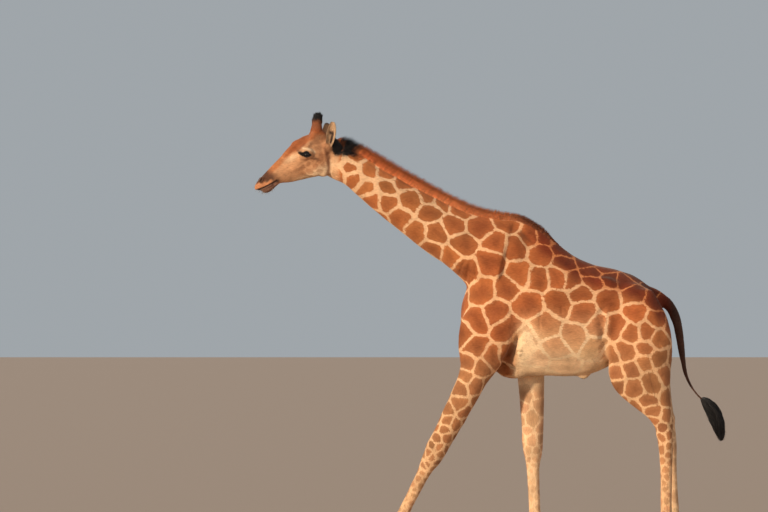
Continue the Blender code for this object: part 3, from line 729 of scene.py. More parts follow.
# Ossicone and the root of it that is part of the skin: share of its length, radius.
OSSICONE = (
    (0.10, 0.012), (0.18, 0.024), (0.30, 0.0305), (0.55, 0.0245),
    (0.78, 0.0225), (0.92, 0.0190), (1.0, 0.009),
)  # fmt: skip
OSSICONE_ROOT = ((-0.30, 0.044), (0.0, 0.044), (0.14, 0.038), (0.30, 0.0295), (0.42, 0.0250), (0.56, 0.0190))
OSSICONE_HALF = 0.0275  # greatest half width across


def ossicone_line(side):
    """An ossicone's foot and the middle of its tip, in the head's frame."""
    foot = Vector((0.497, side * 0.040, 0.090))
    return foot, foot + Vector((0.084, side * 0.010, 0.116)).normalized() * (OSSICONE_LENGTH - 0.018)


def add_ossicone(bm, side, rows, steps, flare, count):
    """A tapering tube along an ossicone, its foot drawn out fore and aft by the flare."""
    foot, tip = ossicone_line(side)
    rings = []
    for t, radius in spaced(rows, steps):
        spread = flare * max(0.0, 1 - max(t, 0.0) / 0.5) ** 1.6
        long, wide, sunk = radius + spread, min(radius, OSSICONE_HALF), -0.35 * radius
        ring = [(long * math.cos(a), wide * math.sin(a), sunk * math.cos(a)) for a in turns(count)]
        rings.append([SKULL @ (foot.lerp(tip, t) + Vector(step)) for step in ring])
    loft(bm, rings)


def make_skin():
    """One fused, softened and thinned skin from the forms, finest at the face."""
    bm = bmesh.new()
    add_head(bm, SKULL)
    add_face_details(bm)
    for side in SIDES:
        add_ossicone(bm, side, OSSICONE_ROOT, 3, 0.030, 32)
    add_neck_and_trunk(bm)
    for side in SIDES:
        add_foreleg(bm, side)
        add_hindleg(bm, side)
    add_tail(bm)
    skin = added("skin", mesh_of("skin", bm, triangulated=False))
    remesh = skin.modifiers.new("Fuse", "REMESH")
    remesh.mode = "VOXEL"
    remesh.voxel_size = SKIN_VOXEL
    freeze(skin)
    co = points_of(skin.data)
    x, z = co[:, 0], co[:, 2]
    face = smoothstep(-x, 0.80, 1.06)
    muzzle = 1 - smoothstep(to_head(co)[:, 0], 0.06, 0.13)
    soft = np.clip((z - 0.90) / 0.30, 0.22, 1.0) * (1 - face) + (0.11 + 0.17 * muzzle) * face
    soft = np.where(x > 1.13, 0.2, soft)
    # The brow and the ossicone's root: how much softer, middle and reach.
    for more, middle, reach in (
        (0.45, (0.432, 0.060, 0.080), (0.045, 0.05, 0.03)),
        (0.30, (0.497, 0.040, 0.105), (0.085, 0.04, 0.030)),
    ):
        q = np.abs(to_head(co)) - np.array(middle)
        soft = soft + more * (np.exp(-((q / np.array(reach)) ** 2).sum(1)) * (x < FACE_X))
    vertex_group(skin, "soft", soft)
    smooth = skin.modifiers.new("Soften", "SMOOTH")
    smooth.factor = 0.6
    smooth.iterations = round(SOFT_ROUNDS * (SOFT_VOXEL / SKIN_VOXEL) ** 2)
    smooth.vertex_group = "soft"
    freeze(skin)
    co = points_of(skin.data)
    detail = 1 - smoothstep(to_head(co)[:, 0], 0.16, 0.22)
    for side in SIDES:
        far = np.linalg.norm(co - np.array(SKULL @ eye_place(side)), axis=1)
        detail = np.maximum(detail, 1 - smoothstep(far, 0.065, 0.100))
    thin_out(skin, FIRST_SHARE * SKIN_TRIANGLES, np.where((co[:, 0] < FACE_X) & (detail > 0), 0.0, 1.0))
    thin_out(skin, SKIN_TRIANGLES, np.where(points_of(skin.data)[:, 0] < FACE_X, 0.0, 1.0))
    settle(skin)
    refine(skin)
    return skin


def settle(skin):
    """Draws in the few points where the thinned skin is folded."""
    axes = dict(use_axis_x=True, use_axis_y=True, use_axis_z=True)
    with editing(skin.data) as bm:
        for _ in range(5):
            bm.normal_update()
            folded = [v for v in bm.verts if any(f.normal.dot(v.normal) < FOLDED for f in v.link_faces)]
            bmesh.ops.smooth_vert(bm, verts=folded, factor=0.5, **axes)


def thin_out(skin, triangles, weights):
    """Brings the skin down to so many triangles, and none where the weight is 0."""
    vertex_group(skin, "coarse", weights)
    thin = skin.modifiers.new("Facet", "DECIMATE")
    thin.vertex_group = "coarse"
    thin.vertex_group_factor = 1.0
    thin.ratio = triangles / sum(len(face.vertices) - 2 for face in skin.data.polygons)
    thin.use_collapse_triangulate = True
    freeze(skin)
    skin.vertex_groups.clear()


def refine(skin):
    """Cuts the skin's faces finer round the eyes, the muzzle and the folds, and ends it inside the claws."""
    eyes = [SKULL @ eye_place(side) for side in SIDES]
    with editing(skin.data) as bm:
        cut_off(bm, (0, 0, CORONET_CUT), (0, 0, -1))
        for reach, lips in ((0.041, 0.105), (0.033, 0.0)):
            edges = []
            for edge in bm.edges:
                middle = (edge.verts[0].co + edge.verts[1].co) / 2
                near = middle.x < FACE_X and min((middle - eye).length for eye in eyes) < reach
                if not near and lips and middle.x < MUZZLE_X:
                    near = (SKULL.inverted() @ middle).x < lips
                if near:
                    edges.append(edge)
            bmesh.ops.subdivide_edges(bm, edges=edges, cuts=1, use_grid_fill=True)
        for _ in range(3):
            bmesh.ops.triangulate(bm, faces=bm.faces)
            edges = list(bm.edges)
            ends = np.array([(*edge.verts[0].co, *edge.verts[1].co) for edge in edges]).reshape(-1, 2, 3)
            middle = ends.mean(axis=1)
            wanted = np.linalg.norm(ends[:, 0] - ends[:, 1], axis=1) > FOLD_EDGE
            wanted &= near_folds(middle[:, 0], middle[:, 2]) & (middle[:, 0] > FACE_X)
            picked = [edges[i] for i in np.nonzero(wanted)[0]]
            bmesh.ops.subdivide_edges(bm, edges=picked, cuts=1)
        bmesh.ops.triangulate(bm, faces=bm.faces)
        bmesh.ops.recalc_face_normals(bm, faces=bm.faces)


# The eye's opening as angles from its centre, in radians, and the lids' thickness.
EYE_HALF_WIDTH = 1.12
EYE_LOWER, EYE_UPPER = 0.64, 0.42
LID = 0.0034


def eye_axes(side):
    """Ways out of the eye, back along its slit and up across it, in the head's frame."""
    out = heading(-0.20, side * 0.97, 0.12)
    back = square_to(out, 0.80, 0.0, -0.60)
    return out, back, np.cross(back, out) * -side


def eye_opening(q, side):
    """How far points in the head's frame lie outside the eye's opening, in radians from its
    centre, their angles across and above it, and the steps to them from that centre."""
    delta = q - np.array(eye_place(side))
    out, back, up = eye_axes(side)
    ahead = delta @ out
    across = np.arctan2(delta @ back, ahead)
    above = np.arctan2(delta @ up, np.maximum(ahead, 1e-4))
    share = np.abs(across) / EYE_HALF_WIDTH
    outside = np.hypot(above, np.maximum(np.abs(across) - EYE_HALF_WIDTH, 0))
    top = above - EYE_UPPER * (1 - np.minimum(share, 1) ** 2.6)
    bottom = -above - EYE_LOWER * (1 - np.minimum(share, 1) ** 2)
    beyond = np.where(share < 1, np.maximum(top, bottom), outside)
    beyond = np.where(ahead > 0, beyond, 3.0)
    return beyond, across, above, delta


def shape_lids(q):
    """Wraps the skin round the eyeballs as lids, with a crease over the upper one."""
    for side in SIDES:
        beyond, _, above, delta = eye_opening(q, side)
        distance = np.linalg.norm(delta, axis=1)
        near = (distance < 0.052) & (beyond < 2)
        lid = EYE_RADIUS + LID
        resting = np.maximum(distance, EYE_RADIUS + 0.0015)
        outside = lid + (resting - lid) * smoothstep(beyond, 0.10, 0.62)
        outside -= bell(beyond - 0.30, 0.05) * (above > 0) * 0.0014
        inside = lid - (LID + 0.006) * smoothstep(-beyond, 0.0, 0.09)
        reach = np.where(beyond > 0, outside, inside)
        scale = np.where(near, reach / np.maximum(distance, 1e-4), 1.0)
        q = np.where(near[:, None], np.array(eye_place(side)) + delta * scale[:, None], q)
    return q


NOSTRIL = (0.060, 0.038, 0.034)  # middle of the near slit, in the head's frame
MOUTH = ((-0.010, -0.0080), (0.0, -0.0100), (0.055, -0.0180), (0.150, -0.0215))


def mouth_gap(q):
    """How far points lie above the line of the mouth, and the share of it that they are on."""
    return q[:, 2] - between(q[:, 0], MOUTH), 1 - smoothstep(q[:, 0], 0.138, 0.154)


def nostril_slit(q, side):
    """Steps to points from the middle of a nostril, how far they lie along its slit and the rest."""
    delta = q - np.array(NOSTRIL) * (1, side, 1)
    slit = heading(0.80, side * 0.10, 0.60)
    along = delta @ slit
    return delta, along, delta - slit * along[:, None]


def shape_muzzle(q, n):
    """Presses in the mouth between rolled lips, and the nostrils with a rim round each."""
    gap, share = mouth_gap(q)
    q = q - n * (0.0055 * bell(gap, 0.0026) * share)[:, None]
    q = q + n * (0.0022 * bell(np.abs(gap) - 0.0085, 0.005) * share)[:, None]
    for side in SIDES:
        delta, along, rest = nostril_slit(q, side)
        across = np.linalg.norm(along_skin(rest, n), axis=1)
        own = (n[:, 1] * side > 0.1) & (np.linalg.norm(delta, axis=1) < 0.05)
        depth = bell(along, 0.014, 4) * bell(across, 0.0042) * own
        rim = bell(along, 0.019, 4) * bell(across - 0.0095, 0.004) * own
        q = q + n * (0.0018 * rim - 0.0085 * depth)[:, None]
    return q


NARROW = 0.015  # folds narrower than this need finer faces
# Folds: (side or 0 for both, width, depth, points as x, z).
FOLDS = (
    (LEFT, 0.020, 0.030, ((0.170, 1.420), (0.140, 1.350), (0.108, 1.280), (0.070, 1.200))),
    (LEFT, 0.030, 0.012, ((0.200, 1.520), (0.170, 1.420), (0.140, 1.350))),
    (RIGHT, 0.022, 0.020, ((0.400, 1.470), (0.385, 1.400), (0.370, 1.300), (0.350, 1.215))),
    (RIGHT, 0.026, 0.010, ((0.080, 1.300), (0.070, 1.240), (0.090, 1.190))),
    (0, 0.020, 0.015, ((0.715, 1.640), (0.694, 1.560), (0.690, 1.470), (0.705, 1.380), (0.728, 1.290))),
    (0, 0.012, 0.005, ((0.745, 1.600), (0.728, 1.530), (0.726, 1.470))),
    (0, 0.009, 0.006, ((-0.132, 1.895), (-0.150, 1.830), (-0.160, 1.765), (-0.150, 1.730))),
    (0, 0.009, 0.007, ((-0.170, 1.895), (-0.192, 1.845), (-0.205, 1.800))),
    (0, 0.010, 0.006, ((-0.098, 1.885), (-0.100, 1.810), (-0.128, 1.735))),
    (0, 0.010, 0.005, ((0.345, 1.820), (0.330, 1.730), (0.328, 1.650))),
    (0, 0.008, 0.004, ((0.306, 1.590), (0.300, 1.520), (0.304, 1.460))),
    (0, 0.008, 0.004, ((0.446, 1.640), (0.440, 1.590), (0.436, 1.540))),
    (0, 0.012, 0.005, ((0.200, 2.080), (0.250, 2.030), (0.290, 1.990))),
    (0, 0.007, 0.003, ((-0.870, 2.560), (-0.700, 2.480), (-0.500, 2.368), (-0.300, 2.268), (-0.120, 2.192))),
    (0, 0.012, 0.006, ((-1.030, 2.600), (-1.012, 2.540), (-1.020, 2.470), (-1.036, 2.425))),
)


def distance_to_path(x, z, path):
    """Distance from points to a path, and the share of its length where it is nearest."""
    best = np.full(len(x), np.inf)
    share = np.zeros(len(x))
    points = np.array(path)
    spans = np.linalg.norm(np.diff(points, axis=0), axis=1)
    total = spans.sum()
    start = 0.0
    for (ax, az), (bx, bz), span in zip(points[:-1], points[1:], spans):
        t = np.clip(((x - ax) * (bx - ax) + (z - az) * (bz - az)) / span**2, 0, 1)
        distance = np.hypot(x - ax - t * (bx - ax), z - az - t * (bz - az))
        share = np.where(distance < best, (start + t * span) / total, share)
        best = np.minimum(best, distance)
        start += span
    return best, share


def near_folds(x, z):
    """Where the narrow creases need finer faces."""
    near = np.zeros(len(x), bool)
    for _, width, _, path in FOLDS:
        if width < NARROW:
            near |= distance_to_path(x, z, path)[0] < 2.2 * width
    return near


def shape_folds(co, n):
    """Presses in each fold and lifts the skin a little on both sides of it."""
    moved = co.copy()
    for side, width, depth, path in FOLDS:
        distance, share = distance_to_path(co[:, 0], co[:, 2], path)
        taper = np.sin(np.pi * np.clip(share * 0.9 + 0.05, 0, 1)) ** 0.6
        own = (co[:, 1] * side > 0.01) if side else (np.abs(co[:, 1]) > 0.02)
        sideways = np.clip(np.abs(n[:, 1]) * 1.4, 0, 1)
        push = depth * bell(distance, width) * taper * own * sideways
        lift = 0.25 * depth * bell(distance - 1.9 * width, width) * taper * own
        moved += n * (lift - push)[:, None]
    return moved


def shape_skin(skin):
    """Shapes the mouth, nostrils, folds and lids, and sinks the skin by the coat's depth."""
    co, n = mesh_arrays(skin.data)
    face = co[:, 0] < FACE_X
    co[face] = from_head(shape_muzzle(to_head(co[face]), n[face] @ HEAD_AXES))
    co = shape_folds(co, n)
    set_points(skin.data, co)
    co, n = mesh_arrays(skin.data)
    depth = COAT_DEPTH * (1 - 0.6 * smoothstep(-co[:, 0], 0.95, 1.1))
    ripple = wobble(co, 0.055, 3) * 0.0006 + wobble(co, 0.12, 4) * 0.0009
    co += n * (ripple * (co[:, 0] > FACE_X) - depth)[:, None]
    co[face] = from_head(shape_lids(to_head(co[face])))
    set_points(skin.data, co)


# ---- Markings ----
# The middles of patches on the flanks: x, z.
PATCHES = (
    (-0.895, 2.490), (-0.860, 2.552), (-0.770, 2.470), (-0.868, 2.405), (-0.800, 2.350),
    (-0.665, 2.445), (-0.650, 2.362), (-0.752, 2.275), (-0.555, 2.388), (-0.660, 2.262),
    (-0.510, 2.285), (-0.592, 2.155), (-0.475, 2.070), (-0.380, 2.195),
    (-0.400, 2.312), (-0.355, 2.075), (-0.300, 2.258), (-0.365, 1.960), (-0.240, 2.125),
    (-0.200, 2.218), (-0.262, 1.925), (-0.190, 1.995), (-0.170, 1.838), (-0.070, 2.100),
    (0.110, 2.128), (0.030, 2.012), (0.000, 1.885), (0.150, 1.985), (0.235, 2.058),
    (0.180, 1.812), (-0.055, 1.700), (0.095, 1.720), (0.320, 1.940), (0.292, 1.785),
    (0.345, 2.050), (0.460, 1.880), (0.450, 1.955), (0.420, 1.795), (0.510, 1.772),
    (0.225, 1.620), (0.030, 1.572), (-0.110, 1.520), (0.432, 1.635), (0.560, 1.685),
    (0.570, 1.572), (0.335, 1.480), (0.100, 1.475), (-0.178, 1.440), (0.520, 1.420),
    (0.400, 1.345), (0.730, 1.650), (0.600, 1.880), (0.635, 1.822), (0.630, 1.765),
    (0.710, 1.845), (0.752, 1.785), (0.820, 1.830), (0.842, 1.766), (0.912, 1.790),
    (0.895, 1.690), (0.990, 1.735), (0.915, 1.562), (0.664, 1.480), (0.772, 1.475),
    (0.885, 1.430), (0.975, 1.452), (1.032, 1.530), (1.030, 1.645), (1.050, 1.402),
    (0.845, 1.325), (0.960, 1.335), (0.757, 1.285), (0.660, 1.350), (0.875, 1.210),
    (0.955, 1.258), (1.050, 1.280), (0.775, 1.190), (-0.110, 1.340), (0.002, 1.268),
    (-0.060, 1.214), (-0.157, 1.245), (-0.168, 1.168), (-0.100, 1.110), (-0.200, 1.090),
)  # fmt: skip


TAIL_X = 1.16  # the tail lies behind this
SEED_TRIES, MOTTLE_TRIES = 26_000, 6_000
MOTTLE_GAP = 0.034


def region(p, n):
    """Shares of the regions that change the coat's look, at points on the skin."""
    x, y, z = p.T
    q = to_head(p)
    head = smoothstep(-x, 0.985, 1.03) * (1 - smoothstep(q[:, 0], 0.56, 0.66))
    leg = np.where(x < 0.62, 1 - smoothstep(z, 1.08, 1.22), 1 - smoothstep(z, 1.10, 1.34))
    leg = np.where(x > 1.19, 0, leg)
    crest = between(x, TRUNK)
    back = (1 - smoothstep(crest - z, 0.10, 0.20)) * smoothstep(x, 0.12, 0.34)
    under = (1 - smoothstep(z, 1.28, 1.66)) * smoothstep(x, 0.10, 0.20)
    under = np.maximum(under, oval(x, z, (0.215, 1.39), (0.070, 0.120)) * 1.2)
    far_arm = smoothstep(y, 0.12, 0.16) * (1 - smoothstep(np.abs(x - 0.20), 0.14, 0.19))
    under = np.clip(under, 0, 1) * (1 - smoothstep(x, 0.70, 0.76))
    under = under * smoothstep(z, 1.03, 1.14) * (1 - far_arm)
    inside = smoothstep(-n[:, 1] * np.sign(y), 0.0, 0.5) * (1 - smoothstep(z, 1.25, 1.40))
    tail = smoothstep(x, 1.10, 1.16) * (z > 0.98) * (np.abs(y) < 0.06)
    return {"head": head, "leg": leg, "back": back, "under": under, "inside": inside, "tail": tail}


def spacing(p):
    """How far apart the patches' middles lie."""
    x, _, z = p.T
    neck = 0.115 + 0.03 * smoothstep(x, -0.9, -0.3)
    body = np.where(x < -0.15, neck, 0.145)
    low = np.interp(z, [0.1, 0.5, 0.75, 1.0, 1.3], [0.030, 0.036, 0.052, 0.078, 0.125])
    return np.where((z < 1.3) & ((x < 0.1) | (x > 0.70) | (z < 1.14)), low, body)


def thinned(kept, points, gaps):
    """The kept points and those of the others that lie farther than their gap from all before."""
    for point, gap in zip(points, gaps):
        if np.linalg.norm(kept - point, axis=1).min() > gap:
            kept = np.vstack((kept, point))
    return kept


def make_seeds(co, tree):
    """The patches' middles: those listed for each side, and others that fill the rest."""
    seeds = []
    for side in SIDES:
        for x, z in PATCHES:
            if side == RIGHT:
                x, z = x + rng.uniform(-0.02, 0.02), z + rng.uniform(-0.018, 0.018)
            hit = tree.ray_cast(Vector((x, side * 1.0, z)), Vector((0, -side, 0)))[0]
            if hit is not None and hit.y * side > 0.0:
                seeds.append(np.array(hit))
    order = rng.permutation(np.nonzero((co[:, 0] > FACE_X) & (co[:, 0] < TAIL_X))[0])[:SEED_TRIES]
    return thinned(np.array(seeds), co[order], spacing(co[order]) * 0.90)


def make_cheek_seeds(co):
    """The middles of the cheek's small mottles."""
    q = to_head(co)
    order = rng.permutation(np.nonzero((q[:, 0] > 0.16) & (q[:, 0] < 0.66))[0])[:MOTTLE_TRIES]
    return thinned(co[order[:1]], co[order], np.full(len(order), MOTTLE_GAP))


def cell_edges(p, seeds, rounding):
    """Distance from each point to its cell's edge, and the cell's number."""
    edge = np.empty(len(p))
    cell = np.empty(len(p), int)
    lot = 8192  # points at a time, to spare memory
    for start in range(0, len(p), lot):
        square = ((p[start : start + lot, None, :] - seeds[None]) ** 2).sum(2)
        nearest = np.argpartition(square, 5, axis=1)[:, :6]
        found = np.take_along_axis(square, nearest, 1)
        order = np.argsort(found, axis=1)
        nearest = np.take_along_axis(nearest, order, 1)
        found = np.take_along_axis(found, order, 1)
        own = seeds[nearest[:, :1]]
        apart = np.linalg.norm(seeds[nearest[:, 1:]] - own, axis=2)
        walls = (found[:, 1:] - found[:, :1]) / (2 * np.maximum(apart, 1e-6)) * rounding
        edge[start : start + lot] = -np.log(np.exp(-walls).sum(1)) / rounding
        cell[start : start + lot] = nearest[:, 0]
    return edge, cell


# Coat colours, as sRGB out of 255.
NECK_GROUND, NECK_PATCH = srgb(238, 186, 140), srgb(184, 108, 58)
BODY_GROUND, BODY_PATCH = srgb(236, 178, 130), srgb(178, 98, 50)
BACK_GROUND, BACK_PATCH = srgb(202, 120, 70), srgb(118, 46, 16)
LEG_GROUND, LEG_PATCH = srgb(234, 182, 134), srgb(178, 116, 72)
# Cream, and the belly's faint patches: their own pale colours, brightened further as painted light for the
# belly.
PALE = srgb(250, 214, 170)
PALE_PATCH = srgb(232, 180, 132)
CHEEK, NOSE, FOREHEAD = srgb(210, 150, 106), srgb(190, 116, 68), srgb(166, 90, 48)
TEMPLE, STRIP = srgb(146, 96, 64), srgb(242, 210, 168)
MUZZLE, UPPER_LIP, LIP = srgb(86, 52, 36), srgb(206, 134, 90), srgb(50, 35, 31)
CHIN_HAIR = srgb(148, 104, 84)
MOTTLE = srgb(166, 104, 66)
LID_SKIN, CORNER = srgb(18, 13, 11), srgb(58, 40, 26)
# The poll's black, and a dark brown for the shade painted along the fold behind the jaw.
POLL_BLACK, JAW_FOLD_SHADE = srgb(38, 32, 30), srgb(120, 72, 46)
# The tail's own brown, darkened as painted shade.
TAIL_BROWN_AND_SHADE = srgb(76, 47, 34)
TIP_BLACK = srgb(24, 17, 15)  # of the ossicones and the tail's tuft

# Lines of the head's markings, as along and up in the head's frame.
FOREHEAD_LINE = (
    (0.00, 0.004), (0.10, 0.016), (0.15, 0.034), (0.183, 0.042), (0.266, 0.076),
    (0.339, 0.084), (0.400, 0.086), (0.450, 0.094), (0.520, 0.096), (0.600, 0.060),
)  # fmt: skip
PALE_STRIP = ((0.384, 0.075), (0.405, 0.059), (0.424, 0.040), (0.435, 0.018))  # behind the eye
BROW_LINE = ((0.350, 0.088), (0.392, 0.088), (0.430, 0.066), (0.462, 0.030))
EYE_CORNER = ((0.350, 0.073), (0.358, 0.063))
# And of the neck's, as x and z: the fold behind the jaw, along which shade is painted, and how far the poll's
# black reaches down.
JAW_FOLD = ((-1.050, 2.600), (-1.034, 2.540), (-1.024, 2.478), (-1.032, 2.430))
POLL_REACH = ((-1.02, 0.0), (-1.00, 0.05), (-0.985, 0.074), (-0.93, 0.066), (-0.86, 0.038), (-0.82, 0.0))
PATCH_ROUNDING, MOTTLE_ROUNDING = 240.0, 300.0  # lower numbers round the cells' corners more


def layered(colour, *layers):
    """The colour under layers of (colour, share), each laid over those before."""
    for over, share in layers:
        colour = mix(colour, over, share)
    return colour


def body_coat(p, shares, edge, tint):
    """The ground's and the patches' colours on the body, and the patches' edge, fainter below."""
    x, _, z = p.T
    neck = 1 - smoothstep(x, -0.35, 0.0)
    back, leg, under, inside, tail = (shares[key] for key in ("back", "leg", "under", "inside", "tail"))
    chest = np.clip(oval(x, z, (0.215, 1.36), (0.080, 0.120)) * 1.1, 0, 1) * under
    ground = layered(BODY_GROUND, (NECK_GROUND, neck), (BACK_GROUND, back), (LEG_GROUND, leg))
    # The belly's pale ground: partly its own cream, partly painted light on the underside.
    ground = mix(ground, PALE, under * 0.9)
    upper_leg = 1 - smoothstep(z, 1.15, np.where(x < 0.62, 1.46, 1.62))
    upper_leg = upper_leg * np.maximum(1 - smoothstep(x, 0.02, 0.12), smoothstep(x, 0.66, 0.76))
    patch = layered(
        BODY_PATCH,
        (NECK_PATCH, neck),
        (BACK_PATCH, back),
        (LEG_PATCH, upper_leg),
        (PALE_PATCH, under * 0.78),
        (ground, 0.65 * (1 - smoothstep(z, 1.24, 1.38)) * under),
        (PALE, 0.9 * chest),
        (ground, 0.55 * (1 - smoothstep(z, 0.25, 0.85))),
    )
    ground = mix(ground, PALE, inside * 0.4)
    poll = smoothstep(-x, 0.945, 0.985)
    # Painted shade: the tail's patches and ground take its darkened brown.
    patch = layered(patch, (ground, inside * 0.58), (ground, poll * 0.9), (TAIL_BROWN_AND_SHADE, tail))
    ground = mix(ground, TAIL_BROWN_AND_SHADE * 1.2, tail)
    patch = patch * (1 + 0.09 * tint[:, :1]) * (1 + np.array((0, 0.03, 0.02)) * tint[:, 1:])
    edge = np.where(edge > 0, edge * (1 - 0.6 * under), edge) - 0.02 * smoothstep(chest, 0.35, 0.85)
    return ground, patch, edge


def face_coat(p, q):
    """The face's colour before the spots: nose, lips, chin, brow and temple, and the eyes' rims."""
    a, u = q[:, 0], q[:, 2]
    top = smoothstep(u - between(a, FOREHEAD_LINE) + 0.006 * wobble(p, 0.05, 31), -0.014, 0.014)
    temple = oval(a, u, (0.485, 0.070), (0.060, 0.062))
    jowl = oval(a, u, (0.47, -0.045), (0.075, 0.050))
    face = layered(
        CHEEK,
        (NOSE, top),
        (FOREHEAD, top * smoothstep(a, 0.22, 0.34)),
        (TEMPLE, temple * (0.35 + 0.50 * smoothstep(wobble(p, 0.024, 33), -0.8, 0.9))),
        (MOTTLE, jowl * (0.15 + 0.45 * smoothstep(wobble(p, 0.040, 37), -0.9, 1.0))),
    )
    face = face * (1 + 0.07 * wobble(p, 0.030, 38))[:, None]
    ragged = 0.006 * wobble(p, 0.030, 41)
    nose = smoothstep(u - (0.018 - 0.34 * (a - 0.04)) + ragged, -0.009, 0.016)
    nose = nose * (1 - smoothstep(a + 0.3 * u + ragged, 0.122, 0.180))
    gap, share = mouth_gap(q)
    face = layered(
        face,
        (PALE, 0.6 * (1 - smoothstep(u, -0.105, -0.055)) * smoothstep(a, 0.14, 0.26)),
        (PALE, 0.45 * oval(a, u, (0.30, 0.055), (0.05, 0.016))),
        (UPPER_LIP, (1 - smoothstep(a, 0.13, 0.17)) * (1 - nose)),
        (MUZZLE, nose * smoothstep(a, 0.004, 0.035) * 0.92),
        (CHIN_HAIR, (1 - smoothstep(a, 0.12, 0.16)) * (1 - smoothstep(gap, -0.006, 0.001))),
        (LIP, 0.9 * np.clip(1.4 * bell(gap, 0.0055) * share, 0, 1)),
        (LIP, 0.9 * oval(a, u, (0.148, -0.026), (0.013, 0.011))),
    )
    for side in SIDES:
        own = q[:, 1] * side > 0.0
        beyond, across, _, delta = eye_opening(q, side)
        ends = smoothstep(np.abs(across / EYE_HALF_WIDTH), 0.70, 1.15)
        rim = 1 - smoothstep(beyond, 0.30 + 0.26 * ends, 0.45 + 0.40 * ends)
        lines = (PALE_STRIP, BROW_LINE, EYE_CORNER)
        strip, brow, corner = (distance_to_path(a, u, line)[0] for line in lines)
        _, along, rest = nostril_slit(q, side)
        face = layered(
            face,
            (STRIP, 0.70 * bell(strip, 0.0080) * own),
            (TEMPLE * 0.8, 0.30 * bell(brow, 0.010) * own),
            (CORNER, 0.65 * (1 - smoothstep(corner, 0.002, 0.013)) * own),
            (LID_SKIN, rim * (np.linalg.norm(delta, axis=1) < 0.075)),
            (LID_SKIN, bell(along, 0.017, 4) * bell(np.linalg.norm(rest, axis=1), 0.007) * 0.95),
        )
    return face


def coat(p, n, seeds, cheeks):
    """The markings at points on the skin: distance inside a patch's edge, and two colours."""
    x, y, z = p.T
    shares = region(p, n)
    head = shares["head"]
    warp = np.stack([wobble(p, 0.11, 11 + k) for k in range(3)], 1) * 0.006
    warp += np.stack([wobble(p, 0.035, 21 + k) for k in range(3)], 1) * 0.0026
    edge, cell = cell_edges(p + warp, seeds, PATCH_ROUNDING)
    # Half of the pale gap between two patches.
    half = 0.0022 + 0.048 * np.clip(spacing(p), 0.03, 0.15)
    half += 0.0040 * (1 - smoothstep(x, -0.85, -0.55)) * (1 - head)
    half += 0.0012 * shares["leg"] + 0.0014 * (1 - smoothstep(x, -0.60, -0.30)) * (1 - head)
    half -= 0.0042 * shares["back"]
    tint = np.random.default_rng(5).normal(0, 1, (len(seeds), 2))[cell]
    ground, patch, edge = body_coat(p, shares, edge - half, tint)

    q = to_head(p)
    a, u = q[:, 0], q[:, 2]
    face = face_coat(p, q)
    mottled = smoothstep(a, 0.24, 0.34) * (1 - smoothstep(u, -0.02, 0.02)) * smoothstep(u, -0.13, -0.10)
    mottled = np.maximum(mottled, smoothstep(a, 0.46, 0.52) * (1 - smoothstep(u, 0.04, 0.08)))
    spots, _ = cell_edges(p + warp * 0.7, cheeks, MOTTLE_ROUNDING)
    edge = np.where(head > 0.5, spots - 0.0048 + 0.002 * wobble(p, 0.03, 39), edge)
    ground, patch = mix(ground, face, head), mix(patch, mix(face, MOTTLE, mottled * 0.50), head)

    # Painted shade: a dark brown line along the fold behind the jaw; then the poll's black.
    jaw = 0.80 * bell(distance_to_path(x, z, JAW_FOLD)[0], 0.011) * (np.abs(y) > 0.02)
    reach = between(x, POLL_REACH)
    black = smoothstep(reach - (between(x, MANE) - z) + 0.010 * wobble(p, 0.04, 35), -0.008, 0.010)
    black = black * (reach > 0) * (x < -0.80)
    ground, patch = (layered(colour, (JAW_FOLD_SHADE, jaw), (POLL_BLACK, black)) for colour in (ground, patch))
    return {"edge": edge, "ground": ground, "patch": patch}


def sharpen_marks(skin, seeds, cheeks):
    """Cuts the skin's faces finer along the edges of the patches."""
    for reach in MARK_STEPS:
        co, n = mesh_arrays(skin.data)
        edge = coat(co, n, seeds, cheeks)["edge"]
        a, b = values_of(skin.data.edges, "vertices", 2, np.int32).T
        long = np.linalg.norm(co[a] - co[b], axis=1)
        near = np.minimum(np.abs(edge[a]), np.abs(edge[b])) < 0.42 * long
        # A bridge runs from one patch to another over a gap that neither of its ends shows.
        bridge = (edge[a] > 0) & (edge[b] > 0) & (edge[a] + edge[b] + BRIDGED_GAP < long)
        wanted = (long > reach) & (near | (edge[a] * edge[b] < 0)) | bridge | (long > LONGEST_EDGE)
        with editing(skin.data) as bm:
            bm.edges.ensure_lookup_table()
            picked = [bm.edges[i] for i in np.nonzero(wanted)[0]]
            bmesh.ops.subdivide_edges(bm, edges=picked, cuts=1)
            bmesh.ops.triangulate(bm, faces=bm.faces)


